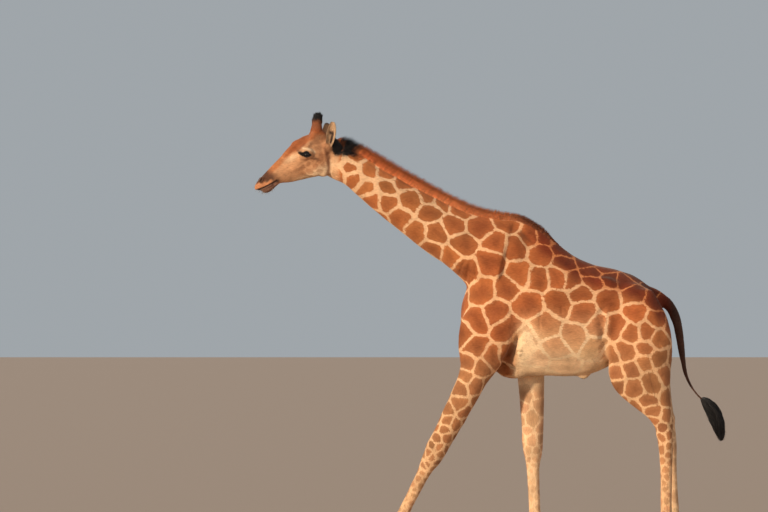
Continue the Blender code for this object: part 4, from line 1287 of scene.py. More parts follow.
# ---- Materials ----
class Nodes:
    """Shorthand for building a material's nodes."""

    def __init__(self, name):
        self.material = bpy.data.materials.new(name)
        self.material.use_nodes = True
        self.tree = self.material.node_tree
        self.shader = self.tree.nodes["Principled BSDF"]

    def new(self, kind, inputs=None, **settings):
        node = self.tree.nodes.new(kind)
        for key, value in settings.items():
            setattr(node, key, value)
        for key, value in (inputs or {}).items():
            self.feed(node.inputs[key], value)
        return node

    def feed(self, socket, value):
        if isinstance(value, bpy.types.NodeSocket):
            self.tree.links.new(value, socket)
        else:
            socket.default_value = value

    def attribute(self, name, socket):
        return self.new("ShaderNodeAttribute", attribute_name=name).outputs[socket]

    def noise(self, scale, stretch=(1, 1, 1), turn=(0, 0, 0), detail=3.0):
        place = self.new("ShaderNodeTexCoord").outputs["Object"]
        mapping = self.new("ShaderNodeMapping", {"Vector": place, "Scale": stretch, "Rotation": turn})
        settings = {"Vector": mapping.outputs["Vector"], "Scale": scale, "Detail": detail}
        return self.new("ShaderNodeTexNoise", settings).outputs["Fac"]

    def height(self):
        place = self.new("ShaderNodeTexCoord").outputs["Object"]
        return self.new("ShaderNodeSeparateXYZ", {0: place}).outputs["Z"]

    def ramp(self, value, low, high, out_low=0.0, out_high=1.0):
        settings = {"Value": value, "From Min": low, "From Max": high, "To Min": out_low, "To Max": out_high}
        return self.new("ShaderNodeMapRange", settings).outputs["Result"]

    def math(self, operation, a, b):
        return self.new("ShaderNodeMath", {0: a, 1: b}, operation=operation).outputs[0]

    def blend(self, share, a, b, mode="MIX"):
        node = self.new("ShaderNodeMix", {0: share, 6: a, 7: b}, data_type="RGBA", blend_type=mode)
        return node.outputs[2]

    def set(self, **values):
        for key, value in values.items():
            self.feed(self.shader.inputs[key.replace("_", " ")], value)
        return self.material

    def bump(self, height, strength, distance):
        settings = {"Height": height, "Strength": strength, "Distance": distance}
        return self.new("ShaderNodeBump", settings).outputs["Normal"]


def coat_material():
    """Short hair: patches with frayed edges on a pale ground, combed streaks and a soft sheen."""
    nodes = Nodes("coat")
    fray = nodes.noise(150.0, detail=4.0)
    edge = nodes.attribute("edge", "Fac")
    frayed = nodes.math("ADD", edge, nodes.ramp(fray, 0.25, 0.75, -0.0040, 0.0040))
    inside = nodes.ramp(frayed, -0.0016, 0.0022)
    deep = nodes.ramp(frayed, 0.008, 0.050)
    patch = nodes.attribute("patch", "Color")
    darker = nodes.blend(1.0, patch, (0.70, 0.62, 0.56, 1), "MULTIPLY")
    patch = nodes.blend(deep, patch, darker)
    colour = nodes.blend(inside, nodes.attribute("ground", "Color"), patch)
    mottle = nodes.ramp(nodes.noise(11.0, detail=6.0), 0.3, 0.7, 0.80, 1.14)
    streak = nodes.noise(260.0, stretch=(0.16, 1.0, 0.7), turn=(0, 0.35, 0), detail=5.0)
    shin = nodes.noise(300.0, stretch=(1.0, 1.0, 0.16), detail=4.0)
    combed = nodes.blend(nodes.ramp(nodes.height(), 1.05, 1.25), shin, streak)
    light = nodes.math("MULTIPLY", mottle, nodes.ramp(combed, 0.32, 0.68, 0.84, 1.14))
    colour = nodes.blend(1.0, colour, light, "MULTIPLY")
    return nodes.set(
        Base_Color=colour,
        Roughness=nodes.ramp(combed, 0.3, 0.7, 0.92, 0.72),
        Specular_IOR_Level=0.28,
        Sheen_Weight=0.18,
        Sheen_Roughness=0.45,
        Sheen_Tint=(1.0, 0.86, 0.70, 1),
        Normal=nodes.bump(combed, 0.55, 0.0022),
    )


def hair_material():
    """Long hair: the tuft's own colour with fine streaks along it."""
    nodes = Nodes("hair")
    streak = nodes.noise(420.0, stretch=(1, 1, 0.25), detail=3.0)
    shade = nodes.attribute("patch", "Color")
    colour = nodes.blend(1.0, shade, nodes.ramp(streak, 0.3, 0.7, 0.75, 1.25), "MULTIPLY")
    return nodes.set(
        Base_Color=colour,
        Roughness=nodes.ramp(streak, 0.3, 0.7, 0.70, 0.50),
        Specular_IOR_Level=0.30,
        Sheen_Weight=0.12,
        Sheen_Roughness=0.4,
        Normal=nodes.bump(streak, 0.3, 0.001),
    )


def eye_material():
    """A wet, nearly black eye with a dark brown iris, painted per point."""
    nodes = Nodes("eye")
    fleck = nodes.noise(900.0, detail=3.0)
    shade = nodes.attribute("patch", "Color")
    colour = nodes.blend(1.0, shade, nodes.ramp(fleck, 0.3, 0.7, 0.7, 1.3), "MULTIPLY")
    return nodes.set(
        Base_Color=colour,
        Roughness=0.06,
        Specular_IOR_Level=0.26,
        Coat_Weight=0.30,
        Coat_Roughness=0.02,
    )


def horn_material():
    """Hoof horn: dark, dull, with growth rings across it and fine streaks down it."""
    nodes = Nodes("claw_horn")
    rings = nodes.noise(70.0, stretch=(0.3, 0.3, 3.0), detail=4.0)
    streak = nodes.noise(220.0, stretch=(1, 1, 0.12), detail=4.0)
    both = nodes.blend(0.5, rings, streak)
    dust = nodes.ramp(nodes.height(), 0.0, 0.035, 0.75, 0.0)
    base = nodes.blend(nodes.ramp(both, 0.35, 0.65), (*srgb(52, 42, 36), 1), (*srgb(104, 84, 68), 1))
    dust = nodes.math("MULTIPLY", dust, nodes.ramp(nodes.noise(60.0), 0.35, 0.6))
    colour = nodes.blend(dust, base, (*srgb(150, 104, 78), 1))
    return nodes.set(
        Base_Color=colour,
        Roughness=nodes.ramp(both, 0.3, 0.7, 0.62, 0.42),
        Specular_IOR_Level=0.4,
        Normal=nodes.bump(both, 0.5, 0.0012),
    )


# ---- Tufts ----
def unwrap(p):
    """Where a point lies on an unwrap of the body: a tube for head to rump, one for each leg."""
    x, y, z = p.T
    axis = np.interp(x, (-1.5, -1.0, -0.6, -0.1, 0.3, 1.1), (2.36, 2.56, 2.32, 1.95, 1.62, 1.55))
    turn = (np.arctan2(y, z - axis) / math.tau + 0.5) % 1.0
    body = np.stack((0.02 + 0.94 * (x + 1.52) / 3.05, 0.02 + 0.46 * turn), 1)
    low = z < 1.12
    hind, right = x > 0.66, y > 0
    strip = hind * 2 + right
    centre = np.where(hind, 1.06, np.where(right, 0.22, -0.10 - 0.5 * (1.1 - z)))
    across = (np.arctan2(y - np.where(right, 0.145, -0.145), x - centre) / math.tau + 0.5) % 1.0
    leg = np.stack((0.02 + 0.24 * strip + 0.20 * across, 0.52 + 0.44 * z / 1.12), 1)
    return np.where(low[:, None], leg, body)


def lie_of_coat(p, n):
    """Which way the hair points, along the skin: back from the muzzle, and down the legs."""
    x, _, z = p.T
    head = smoothstep(-x, 0.96, 1.06)
    leg = 1 - smoothstep(z, 1.10, 1.45)
    neck = (1 - smoothstep(x, -0.30, 0.05)) * (1 - head)
    way = np.array((0.95, 0.0, -0.32)) * np.ones((len(p), 1))
    way = mix(way, np.array((0.72, 0.0, -0.69)), neck)
    way = mix(way, np.array((0.80, 0.0, 0.38)), head)
    way = mix(way, np.array((0.10, 0.0, -0.99)), leg)
    way = unit(way + 0.12 * np.stack([wobble(p, 0.20, 41 + k) for k in range(3)], 1))
    return unit(along_skin(way, n))


def tuft_count(count, least):
    return max(int(count * TUFT_SHARE), least)


def uv_at(u, v):
    """Rows of UVs from two rows of numbers, or one and a number for all."""
    return np.stack(np.broadcast_arrays(u, v), 1)


def varied(colour, count, spread, low, high):
    """The colour made darker or lighter at random for each tuft."""
    return colour * np.clip(rng.normal(1, spread, (count, 1)), low, high)


def scatter(mesh_points, mesh_normals, triangles, keep, count):
    """Random places on the triangles between kept points: points and normals."""
    triangles = triangles[keep[triangles].all(1)]
    a, b, c = (mesh_points[triangles[:, k]] for k in range(3))
    area = np.linalg.norm(np.cross(b - a, c - a), axis=1)
    pick = rng.choice(len(triangles), size=count, p=area / area.sum())
    r1, r2 = rng.random(count) ** 0.5, rng.random(count)
    w = np.stack((1 - r1, r1 * (1 - r2), r1 * r2), 1)
    at = (mesh_points[triangles[pick]] * w[:, :, None]).sum(1)
    up = unit((mesh_normals[triangles[pick]] * w[:, :, None]).sum(1))
    return at, up


SIDES_ROUND = 3  # corners round a strand of hair
SUNK = 0.15  # share of a tuft's length that lies under the skin


def strand_faces(steps):
    """Triangles of one strand whose rings of corners end in a point."""
    faces = []
    for k in range(steps - 1):
        for s in range(SIDES_ROUND):
            a, b = k * SIDES_ROUND + s, k * SIDES_ROUND + (s + 1) % SIDES_ROUND
            faces += [(a, b + SIDES_ROUND, b), (a, a + SIDES_ROUND, b + SIDES_ROUND)]
    last = (steps - 1) * SIDES_ROUND
    tip = last + SIDES_ROUND
    faces += [(last + (s + 1) % SIDES_ROUND, last + s, tip) for s in range(SIDES_ROUND)]
    return np.array(faces + [(0, 1, 2)])


def strands(rings, faces, marks, uv, rise):
    """Strands alike as arrays: points, triangles, per-point marks and per-corner UVs."""
    points = np.stack(rings, 1)
    count, per = points.shape[:2]
    triangles = (faces[None] + (np.arange(count) * per)[:, None, None]).reshape(-1, 3)
    spot = np.stack([((i % 2) * 0.003, rise(i) / per) for i in range(per)])
    corners = (uv[:, None] + spot[None])[:, faces.ravel()].reshape(-1, 2)
    spread = {key: np.repeat(value, per, axis=0) for key, value in marks.items()}
    return points.reshape(-1, 3), triangles, spread, corners


def grow(roots, up, way, length, width, bend, steps, marks, uv, flat=0.55):
    """Solid tufts, each starting a little under its root, running along way and bending.

    They carry the skin's normal, on which a piece may lean their shading so that short tufts light up as the
    skin does.
    """
    side = unit(np.cross(way, up))
    over = np.cross(side, way)
    width = np.broadcast_to(width, len(roots))
    rings = []
    for k in range(steps):
        t = np.linspace(0, 1, steps + 1)[k]
        middle = roots + way * ((t - SUNK * (k == 0)) * length)[:, None] + bend * (t**2) * length[:, None]
        thick = (width * (1 - t) ** 0.7)[:, None]
        for s in range(SIDES_ROUND):
            angle = math.tau * (s / SIDES_ROUND + 0.25)
            rings.append(middle + side * math.cos(angle) * thick + over * math.sin(angle) * thick * flat)
    rings.append(roots + way * length[:, None] + bend * length[:, None])
    return strands(rings, strand_faces(steps), marks | {"up": up}, uv, lambda i: (i // 2) * 0.006)


def tuft_piece(name, parts, material, lean=0.0):
    """One piece from several lots of tufts, whose shading leans on the skin's by the given share."""
    points, triangles, corners, marks, base = [], [], [], {}, 0
    for p, f, m, c in parts:
        points.append(p)
        triangles.append(f + base)
        corners.append(c)
        for key, value in m.items():
            marks.setdefault(key, []).append(value)
        base += len(p)
    mesh = mesh_from(name, np.concatenate(points), np.concatenate(triangles))
    layer = mesh.uv_layers.new(name="OFBake")
    layer.uv.foreach_set("vector", np.concatenate(corners).astype(np.float32).ravel())
    ups = marks.pop("up", None)
    set_marks(mesh, {key: np.concatenate(value) for key, value in marks.items()})
    piece = place(name, mesh, material)
    if lean:
        shading = unit(mix(mesh_arrays(mesh)[1], np.concatenate(ups), lean))
        mesh.normals_split_custom_set_from_vertices(shading.tolist())
    return piece


def plain_marks(colour, count, edge=0.01):
    """Marks of one colour, whatever the edge."""
    colour = np.broadcast_to(colour, (count, 3))
    return {"edge": np.full(count, edge), "ground": colour.copy(), "patch": colour.copy()}


# ---- Pieces over the skin ----
def finish_skin(skin, seeds, cheeks):
    """Marks the skin and makes it the piece that stands for the body's solids."""
    set_marks(skin.data, coat(*mesh_arrays(skin.data), seeds, cheeks))
    skin.data.materials.append(COAT)
    smooth_shaded(skin.data)
    skin.data.transform(Matrix.Translation(SHIFT))
    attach(skin, "root")
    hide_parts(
        "head", "lower_jaw", "neck", "trunk", "tail",
        "foreleg_left", "foreleg_right", "hindleg_left", "hindleg_right",
    )  # fmt: skip


def make_eye(side, name):
    """A ball with a low cornea over a wide pupil that lies level."""
    bm = bmesh.new()
    bmesh.ops.create_uvsphere(bm, u_segments=64, v_segments=48, radius=EYE_RADIUS - 0.0003)
    mesh = mesh_of(name, bm)
    co = points_of(mesh)
    out, back, up = eye_axes(side)
    turned = co[:, 2:3] * out + co[:, 0:1] * back + co[:, 1:2] * up
    away = np.arccos(np.clip(unit(turned) @ out, -1, 1))
    turned *= 1 + 0.05 * bell(away, 0.5)[:, None]
    set_points(mesh, from_head(turned + np.array(eye_place(side))))
    level, rise = unit(turned) @ back, unit(turned) @ up
    pupil = smoothstep(np.hypot(level / 0.40, rise / 0.26), 0.9, 1.1)
    iris = smoothstep(away, 0.62, 0.74)
    colour = layered(srgb(6, 5, 6), (srgb(30, 18, 13), pupil), (srgb(16, 11, 10), iris))
    set_marks(mesh, {"patch": colour})
    eye = place(name, mesh, EYE)
    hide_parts("eye_left" if side == LEFT else "eye_right")


# The ear's outline: share of its length, share of its greatest width.
EAR_LEAF = (
    (0.0, 0.30), (0.12, 0.58), (0.28, 0.87), (0.45, 1.0), (0.62, 0.98),
    (0.76, 0.86), (0.86, 0.69), (0.93, 0.49), (0.98, 0.27), (1.0, 0.10),
)  # fmt: skip


def ear_grid(side, lengths, widths):
    """The ear's middle sheet as rows of points, with the outward normal of each."""
    root = np.array((0.524, side * 0.070, -0.012))
    along = heading(0.56, side * 0.32, 0.76)
    out = square_to(along, -0.28, side * 0.90, -0.25)
    across = np.cross(along, out)
    points, normals = [], []
    for i in range(lengths + 1):
        t = i / lengths
        leaf = 0.39 * EAR_WIDTH * float(between(t, EAR_LEAF))
        cup = math.radians(150 * (1 - t) + 70 * t)
        for j in range(widths + 1):
            turn = (j / widths - 0.5) * cup
            radius = leaf / math.sin(cup / 2)
            point = root + along * (EAR_LENGTH - 0.012) * t
            point = point + across * radius * math.sin(turn)
            point = point + out * radius * (math.cos(cup / 2) - math.cos(turn))
            points.append(point)
            normals.append(out * math.cos(turn) - across * math.sin(turn))
    return np.array(points), unit(np.array(normals))


def make_ear(side, name):
    """A cupped leaf with a rolled rim; returns its two faces' points, normals and places on the leaf."""
    lengths, widths = 44, 26
    middle, normal = ear_grid(side, lengths, widths)
    i, j = np.divmod(np.arange(len(middle)), widths + 1)
    t, s = i / lengths, j / widths * 2 - 1
    wall = 0.0024 * np.sqrt(np.clip(1 - s**2, 0, 1)) ** 0.7 + 0.0008
    wall = wall * (1 - 0.6 * smoothstep(t, 0.85, 1.0)) + 0.003 * (1 - smoothstep(t, 0.0, 0.2))
    roll = (np.abs(s) ** 6 * 0.0016 * (1 - t))[:, None]
    inner = middle + normal * (wall[:, None] + roll)
    outer = middle - normal * (wall[:, None] - roll)
    points = np.concatenate((inner, outer))
    count, row = len(middle), widths + 1
    faces = []
    for a in range(lengths):
        for b in range(widths):
            p, q, r, u = a * row + b, a * row + b + 1, (a + 1) * row + b + 1, (a + 1) * row + b
            faces += [(p, q, r), (p, r, u)]
            faces += [(p + count, r + count, q + count), (p + count, u + count, r + count)]
    rim = list(range(row)) + [a * row + widths for a in range(1, lengths + 1)]
    rim += [lengths * row + b for b in range(widths - 1, -1, -1)]
    rim += [a * row for a in range(lengths - 1, 0, -1)]
    for p, q in zip(rim, rim[1:] + rim[:1]):
        faces += [(p, p + count, q + count), (p, q + count, q)]
    mesh = mesh_from(name, from_head(points), np.array(faces))
    turn_outward(mesh)
    inside = np.concatenate((np.ones(count), np.zeros(count)))
    t, s = np.tile(t, 2), np.tile(s, 2)
    dark, edge = ear_hollow(t, s, side), smoothstep(np.abs(s), 0.55, 0.90)
    hollow = layered(srgb(208, 160, 122), (srgb(52, 34, 28), dark), (srgb(236, 192, 148), edge))
    set_marks(mesh, plain_marks(mix(ear_back(t), hollow, inside), 2 * count, -0.02))
    ear = place(name, mesh, COAT)
    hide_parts("ear_left" if side == LEFT else "ear_right")
    return from_head(inner), normal @ HEAD_AXES.T, from_head(outer), t[:count], s[:count]


def ear_hollow(t, s, side):
    """The ear's dark inside: a crescent along its rear rim and a patch above."""
    dark = bell(-s * side - 0.34, 0.36, 4) * smoothstep(t, 0.10, 0.22) * (1 - smoothstep(t, 0.56, 0.66))
    return np.maximum(dark, np.exp(-(((t - 0.58) / 0.10) ** 2) - (((s + 0.12 * side) / 0.66) ** 4)))


def ear_back(t):
    """The ear's colour behind, darker at its tip as painted shade."""
    light = mix(srgb(198, 132, 86), srgb(214, 160, 116), t)
    return mix(light, srgb(60, 36, 26), 0.75 * smoothstep(t, 0.86, 0.97))


def turn_outward(mesh):
    with editing(mesh) as bm:
        bmesh.ops.recalc_face_normals(bm, faces=bm.faces)


def make_ossicone(side, name):
    """An ossicone over its root; returns its points, normals and triangles in the body's frame."""
    bm = bmesh.new()
    add_ossicone(bm, side, OSSICONE, 6, 0.0, 40)
    mesh = mesh_of(name, bm)
    co = points_of(mesh)
    set_marks(mesh, plain_marks(ossicone_colour(co, side)[0], len(co), -0.02))
    horn = place(name, mesh, COAT)
    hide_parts("ossicone_left" if side == LEFT else "ossicone_right")
    placed, normals = mesh_arrays(mesh)
    return placed - np.array(SHIFT), normals, triangles_of(mesh)


def ossicone_colour(p, side):
    """Colours at points on an ossicone, black at its tip, and how far up it they lie."""
    foot, tip = ossicone_line(side)
    axis = np.array(tip - foot)
    t = ((to_head(p) - np.array(foot)) @ axis) / (axis @ axis)
    colour = mix(FOREHEAD, srgb(150, 86, 52), smoothstep(t, 0.2, 0.6))
    black = smoothstep(t + 0.05 * wobble(p, 0.02, 51), 0.62, 0.78)
    return mix(colour, TIP_BLACK, black), t


def make_hoof(name, foot, side, node):
    """One claw, smoother than its solid: a sloping block with a rounded toe and a soft coronet."""
    levels, around = 10, 72
    slope = 0.30  # how far it leans back for its height
    tall = HOOF_HEIGHT - 0.0002
    rings = []
    for k in range(levels + 1):
        t = k / levels
        radius = 0.5 - 0.10 * t - 0.012 * smoothstep(np.array(t), 0.88, 1.0) - 0.006 * (t == 0)
        ring = []
        for a in turns(around):
            x, y = radius * math.cos(a), radius * math.sin(a)
            pointed = 1 - 0.30 * max(0, -2 * x) ** 2
            ripple = 1 + 0.006 * math.sin(t * 34 + 2 * math.sin(a))
            x = x * HOOF_LENGTH * ripple + slope * (t * HOOF_HEIGHT - HOOF_HEIGHT)
            y *= HOOF_WIDTH * pointed * ripple
            ring.append(Vector((foot.x - 0.008 + x, foot.y + y, t * tall)))
        rings.append(ring)
    bm = bmesh.new()
    loft(bm, rings)
    cut_off(bm, (0, foot.y + side * CLEFT / 2, 0), (0, -side, 0))
    bmesh.ops.triangulate(bm, faces=bm.faces)
    bmesh.ops.recalc_face_normals(bm, faces=bm.faces)
    mesh = mesh_of(name, bm, triangulated=False)
    hoof = place(name, mesh, HORN)
    # The cleft's wall, the sole and the top stay flat.
    rounded = [max(abs(face.normal.y), abs(face.normal.z)) < 0.97 for face in mesh.polygons]
    mesh.polygons.foreach_set("use_smooth", rounded)
    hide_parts(node)


def make_hooves():
    """Two claws for each foot."""
    for end, rows_of in (("fore", foreleg_rows), ("hind", hindleg_rows)):
        for side, name in NAMED_SIDES:
            foot = Vector(rows_of(side)[-1][:3])
            for claw, where in ((side, "outer"), (-side, "inner")):
                node = f"claw_{end}_{name}_{where}"
                make_hoof(f"hoof_{end}_{name}_{where}", foot, claw, node)


# ---- Coat ----
def coat_tufts(co, n, faces, seeds, cheeks, keep, count, length, width, lift):
    """Short tufts over the kept part of the skin, in the skin's colours."""
    count = tuft_count(count, 60)
    at, up = scatter(co, n, faces, keep, count)
    way = lie_of_coat(at, up)
    way = unit(way + np.cross(up, way) * rng.normal(0, 0.16, (count, 1)))
    tilt = np.clip(rng.normal(lift, 0.05, (count, 1)), 0.02, 0.6)
    way = unit(way + up * tilt)
    long = length * rng.uniform(0.65, 1.2, count)
    wide = width * rng.uniform(0.7, 1.25, count)
    marks = coat(at, up, seeds, cheeks)
    shade = np.clip(rng.normal(1.0, 0.07, (count, 1)), 0.8, 1.25)
    marks["ground"], marks["patch"] = marks["ground"] * shade, marks["patch"] * shade
    return grow(at - up * 0.0003, up, way, long, wide, -up * 0.04, 1, marks, unwrap(at), flat=0.15)


def make_coat(co, n, faces, seeds, cheeks):
    """Short coat as tufts, in pieces by part of the body, and none on the eyes or in the mouth."""
    x, y, z = co.T
    q = to_head(co)
    clear = np.ones(len(co), bool)
    for side in SIDES:
        beyond, _, _, delta = eye_opening(q, side)
        clear &= ~((beyond < 0.10) & (np.linalg.norm(delta, axis=1) < 0.045))
    gap, share = mouth_gap(q)
    clear &= ~((np.abs(gap) < 0.004) & (share > 0.5))
    head = x < -1.02
    muzzle = head & (q[:, 0] < 0.10)
    neck = ~head & (x < -0.12)
    low = (z < 0.98) & (x < 1.16)
    tail = (x > 1.13) & ~low
    trunk = ~head & ~neck & ~low & ~tail
    nape = (np.abs(x + 0.935) < 0.095) & (between(x, MANE) - z < 0.060)
    # Each piece's parts: where they grow, count, length, width and lift.
    lots = {
        "coat_head": (
            (head & ~muzzle & clear, 30_000, 0.0062, 0.0011, 0.08),
            (muzzle & clear, 6_000, 0.0038, 0.0008, 0.08),
        ),
        "coat_neck": ((neck, 44_000, 0.0120, 0.0018, 0.07), (nape, 3_600, 0.0170, 0.0016, 0.30)),
        "coat_trunk_left": ((trunk & (y < 0.002), 46_000, 0.0140, 0.0021, 0.07),),
        "coat_trunk_right": ((trunk & (y > -0.002), 46_000, 0.0140, 0.0021, 0.07),),
        "coat_legs": (
            (low & (z > 0.30), 34_000, 0.0090, 0.0015, 0.08),
            (low & (z <= 0.30), 10_000, 0.0072, 0.0013, 0.10),
        ),
        "coat_tail": ((tail, 6_000, 0.0120, 0.0012, 0.05),),
    }
    for name, parts in lots.items():
        made = [coat_tufts(co, n, faces, seeds, cheeks, *part) for part in parts]
        tuft_piece(name, made, COAT, lean=0.8)


BRUSH = 0.34  # share of the mane's spread that stands up as the brush; the rest lies at the poll
MANE_SPREAD = 0.044  # half of the mane's width where it is widest


def lines_at(at, run, rows):
    """Rows of three numbers at places along a run."""
    return np.stack([np.interp(at, run, rows[:, k]) for k in range(3)], 1)


def make_mane():
    """The brush of the mane: a low core under thousands of upright tufts, spread wide at the poll."""
    rows = spaced(MANE, 6)
    x, z, share = (np.array([row[k] for row in rows]) for k in range(3))
    line = np.stack((x, 0 * x, z), 1)
    tangent = unit(np.gradient(line, axis=0))
    upward = np.cross(tangent, (0, 1, 0))
    upward *= np.sign(upward[:, 2:3])
    skin_z = np.array([SKIN_TREE.ray_cast(Vector((px, 0, 3)), Vector((0, 0, -1)))[0].z for px in x])
    tall = share * MANE_HEIGHT + (z - skin_z) * upward[:, 2]
    tall = np.maximum(tall, 0.006) * (1 - 0.85 * smoothstep(x, 0.30, 0.43))
    line[:, 2] = skin_z
    run = np.concatenate(([0], np.cumsum(np.linalg.norm(np.diff(line, axis=0), axis=1))))

    rings = []
    for i in range(0, len(rows), 2):
        here, up = Vector(line[i]), Vector(upward[i])
        height = tall[i] * 0.50
        thick = 0.013 * min(1, (i + 1) / 5, (len(rows) - i) / 9)
        flank = ((-0.030, 1), (0.3 * height, 0.9), (0.8 * height, 0.5))
        outline = [(u, -v) for u, v in flank] + [(height, 0)] + list(flank[::-1])
        rings.append([here + up * u + Vector((0, v * thick, 0)) for u, v in outline])
    mesh = lofted("mane_core", rings)
    points = points_of(mesh)
    set_marks(mesh, plain_marks(mane_colour(points[:, 0], 0) * 0.7, len(points)))
    core = place("mane_core", mesh, HAIR)
    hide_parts("mane")

    count = tuft_count(12_000, 4_000)
    along = rng.uniform(0, run[-1], count)
    base, up, back = (lines_at(along, run, v) for v in (line, upward, tangent))
    height = np.interp(along, run, tall)
    wide = smoothstep(-base[:, 0], 0.80, 0.90)
    aside = rng.uniform(-1, 1, count)
    aside = np.where(rng.random(count) < wide * 0.45, aside, aside * BRUSH)
    aside = np.where(base[:, 0] < -0.945, aside * 0.5, aside)
    spread = np.abs(aside) > BRUSH
    root = base - up * 0.002
    root[:, 1] += aside * MANE_SPREAD
    for i in np.nonzero(np.abs(aside) > 0.20)[0]:
        root[i] = SKIN_TREE.find_nearest(Vector(root[i] - up[i] * (0.05 * abs(aside[i]))))[0]
    tilt = np.where(spread, np.sign(aside) * 0.20, aside * -0.20) + rng.normal(0, 0.05, count)
    lean = np.where(spread, 0.75, 0.12) + rng.normal(0, 0.08, count)
    way = unit(up + back * lean[:, None] + np.array((0, 1, 0)) * tilt[:, None])
    clump = 1 + 0.05 * np.sin(along * 190) * np.sin(along * 83 + 1)
    long = height * (1.04 - 2.2 * np.minimum(np.abs(aside), BRUSH) ** 2)
    long = long * rng.uniform(0.74, 1.10, count) * clump
    long = np.where(spread, rng.uniform(0.022, 0.040, count), long + 0.003)
    colour = varied(mane_colour(base[:, 0], rng.normal(0, 0.012, count)), count, 0.16, 0.55, 1.6)
    uv = uv_at(0.02 + 0.96 * along / run[-1], 0.985)
    colour = plain_marks(colour, count)
    points, faces, marks, uv = grow(root, unit(back), way, long, 0.0021, back * 0.12, 3, colour, uv)
    level = np.tile(np.repeat([0, 0.35, 0.7, 1.0], [3, 3, 3, 1]), count)
    tip = mane_tip(np.repeat(base[:, 0], 10))
    for key in ("ground", "patch"):
        marks[key] = mix(marks[key], marks[key] * tip, smoothstep(level, 0.35, 1.0))
    brush = tuft_piece("mane_hair", [(points, faces, marks, uv)], HAIR)


def mane_colour(x, jitter):
    """Brown at the very poll, black behind the ears, then orange brown, darker at the withers."""
    x = x + jitter
    black = srgb(30, 20, 16)
    brown = mix(srgb(222, 126, 70), srgb(222, 136, 82), smoothstep(x, -0.80, -0.20))
    brown = mix(brown, srgb(142, 76, 42), smoothstep(x, 0.06, 0.24))
    return mix(black, brown, np.maximum(smoothstep(x, -0.875, -0.825), 1 - smoothstep(x, -0.962, -0.945)))


def mane_tip(x):
    """How the mane's tips differ from its roots: darker at the poll, lighter at the withers, warmer."""
    return mix(0.92, 1.10, smoothstep(x, -0.8, -0.3))[:, None] * np.array((1, 0.96, 0.90))


def make_tail_tuft():
    """Long dark hair that falls in curls from the tail's end, over a core."""
    rows = spaced(TUFT, 5)
    line = np.array([(x, 0, z) for x, z, share in rows])
    share = np.array([row[2] for row in rows])
    tangent = unit(np.gradient(line, axis=0))
    rings = []
    for i in range(0, len(rows), 2):
        here, across = Vector(line[i]), Vector(tangent[i]).cross(Vector((0, 1, 0)))
        radius = TAIL_TUFT_RADIUS * share[i] * 0.50 + 0.002
        ring = [(across * radius * math.cos(a), 0.8 * radius * math.sin(a)) for a in turns(20)]
        rings.append([here + step + Vector((0, aside, 0)) for step, aside in ring])
    mesh = lofted("tail_tuft_core", rings)
    set_marks(mesh, plain_marks(TIP_BLACK, len(mesh.vertices)))
    core = place("tail_tuft_core", mesh, HAIR)
    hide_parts("tail_tuft")

    count = tuft_count(2_600, 700)
    begin = rng.uniform(0, 0.62, count) ** 1.2
    grown = rng.uniform(0.30, 0.62, count)
    end = np.minimum(begin + grown, rng.uniform(0.80, 1.0, count))
    angle, out = rng.uniform(0, math.tau, count), rng.uniform(0.55, 1.0, count)
    loose = rng.uniform(-0.3, 0.5, count) + 0.6 * (rng.random(count) < 0.10)
    steps, at = 7, np.linspace(0, 1, len(rows))
    rings = []
    for k in range(steps + 1):
        f = begin + (end - begin) * k / steps
        centre = lines_at(f, at, line)
        across = np.cross(unit(lines_at(f, at, tangent)), (0, 1, 0))
        radius = TAIL_TUFT_RADIUS * np.interp(f, at, share) * out
        radius *= 0.55 + 0.45 * np.sin(np.pi * min(1, k / steps * 1.2 + 0.1)) ** 0.5
        radius += TAIL_TUFT_RADIUS * 0.55 * loose * (k / steps) ** 2
        curl = angle + 0.45 * np.sin(3 * k / steps + angle * 3)
        middle = centre + across * (radius * np.cos(curl))[:, None]
        middle[:, 1] += 0.8 * radius * np.sin(curl)
        if k == steps:
            rings.append(middle)
            continue
        thick = 0.0013 * (1 - k / steps) ** 0.5 + 0.0002
        for s in range(SIDES_ROUND):
            turn = math.tau * s / SIDES_ROUND
            side = np.cos(turn) * across
            side[:, 1] += np.sin(turn)
            rings.append(middle + side * thick)
    marks = plain_marks(varied(TIP_BLACK, count, 0.35, 0.4, 2.4), count)
    uv = uv_at(0.02 + 0.96 * begin, 0.52 + 0.44 * angle / math.tau)
    made = strands(rings, strand_faces(steps)[:, ::-1], marks, uv, lambda i: i * 0.003)
    hair = tuft_piece("tail_tuft_hair", [made], HAIR)
    turn_outward(hair.data)


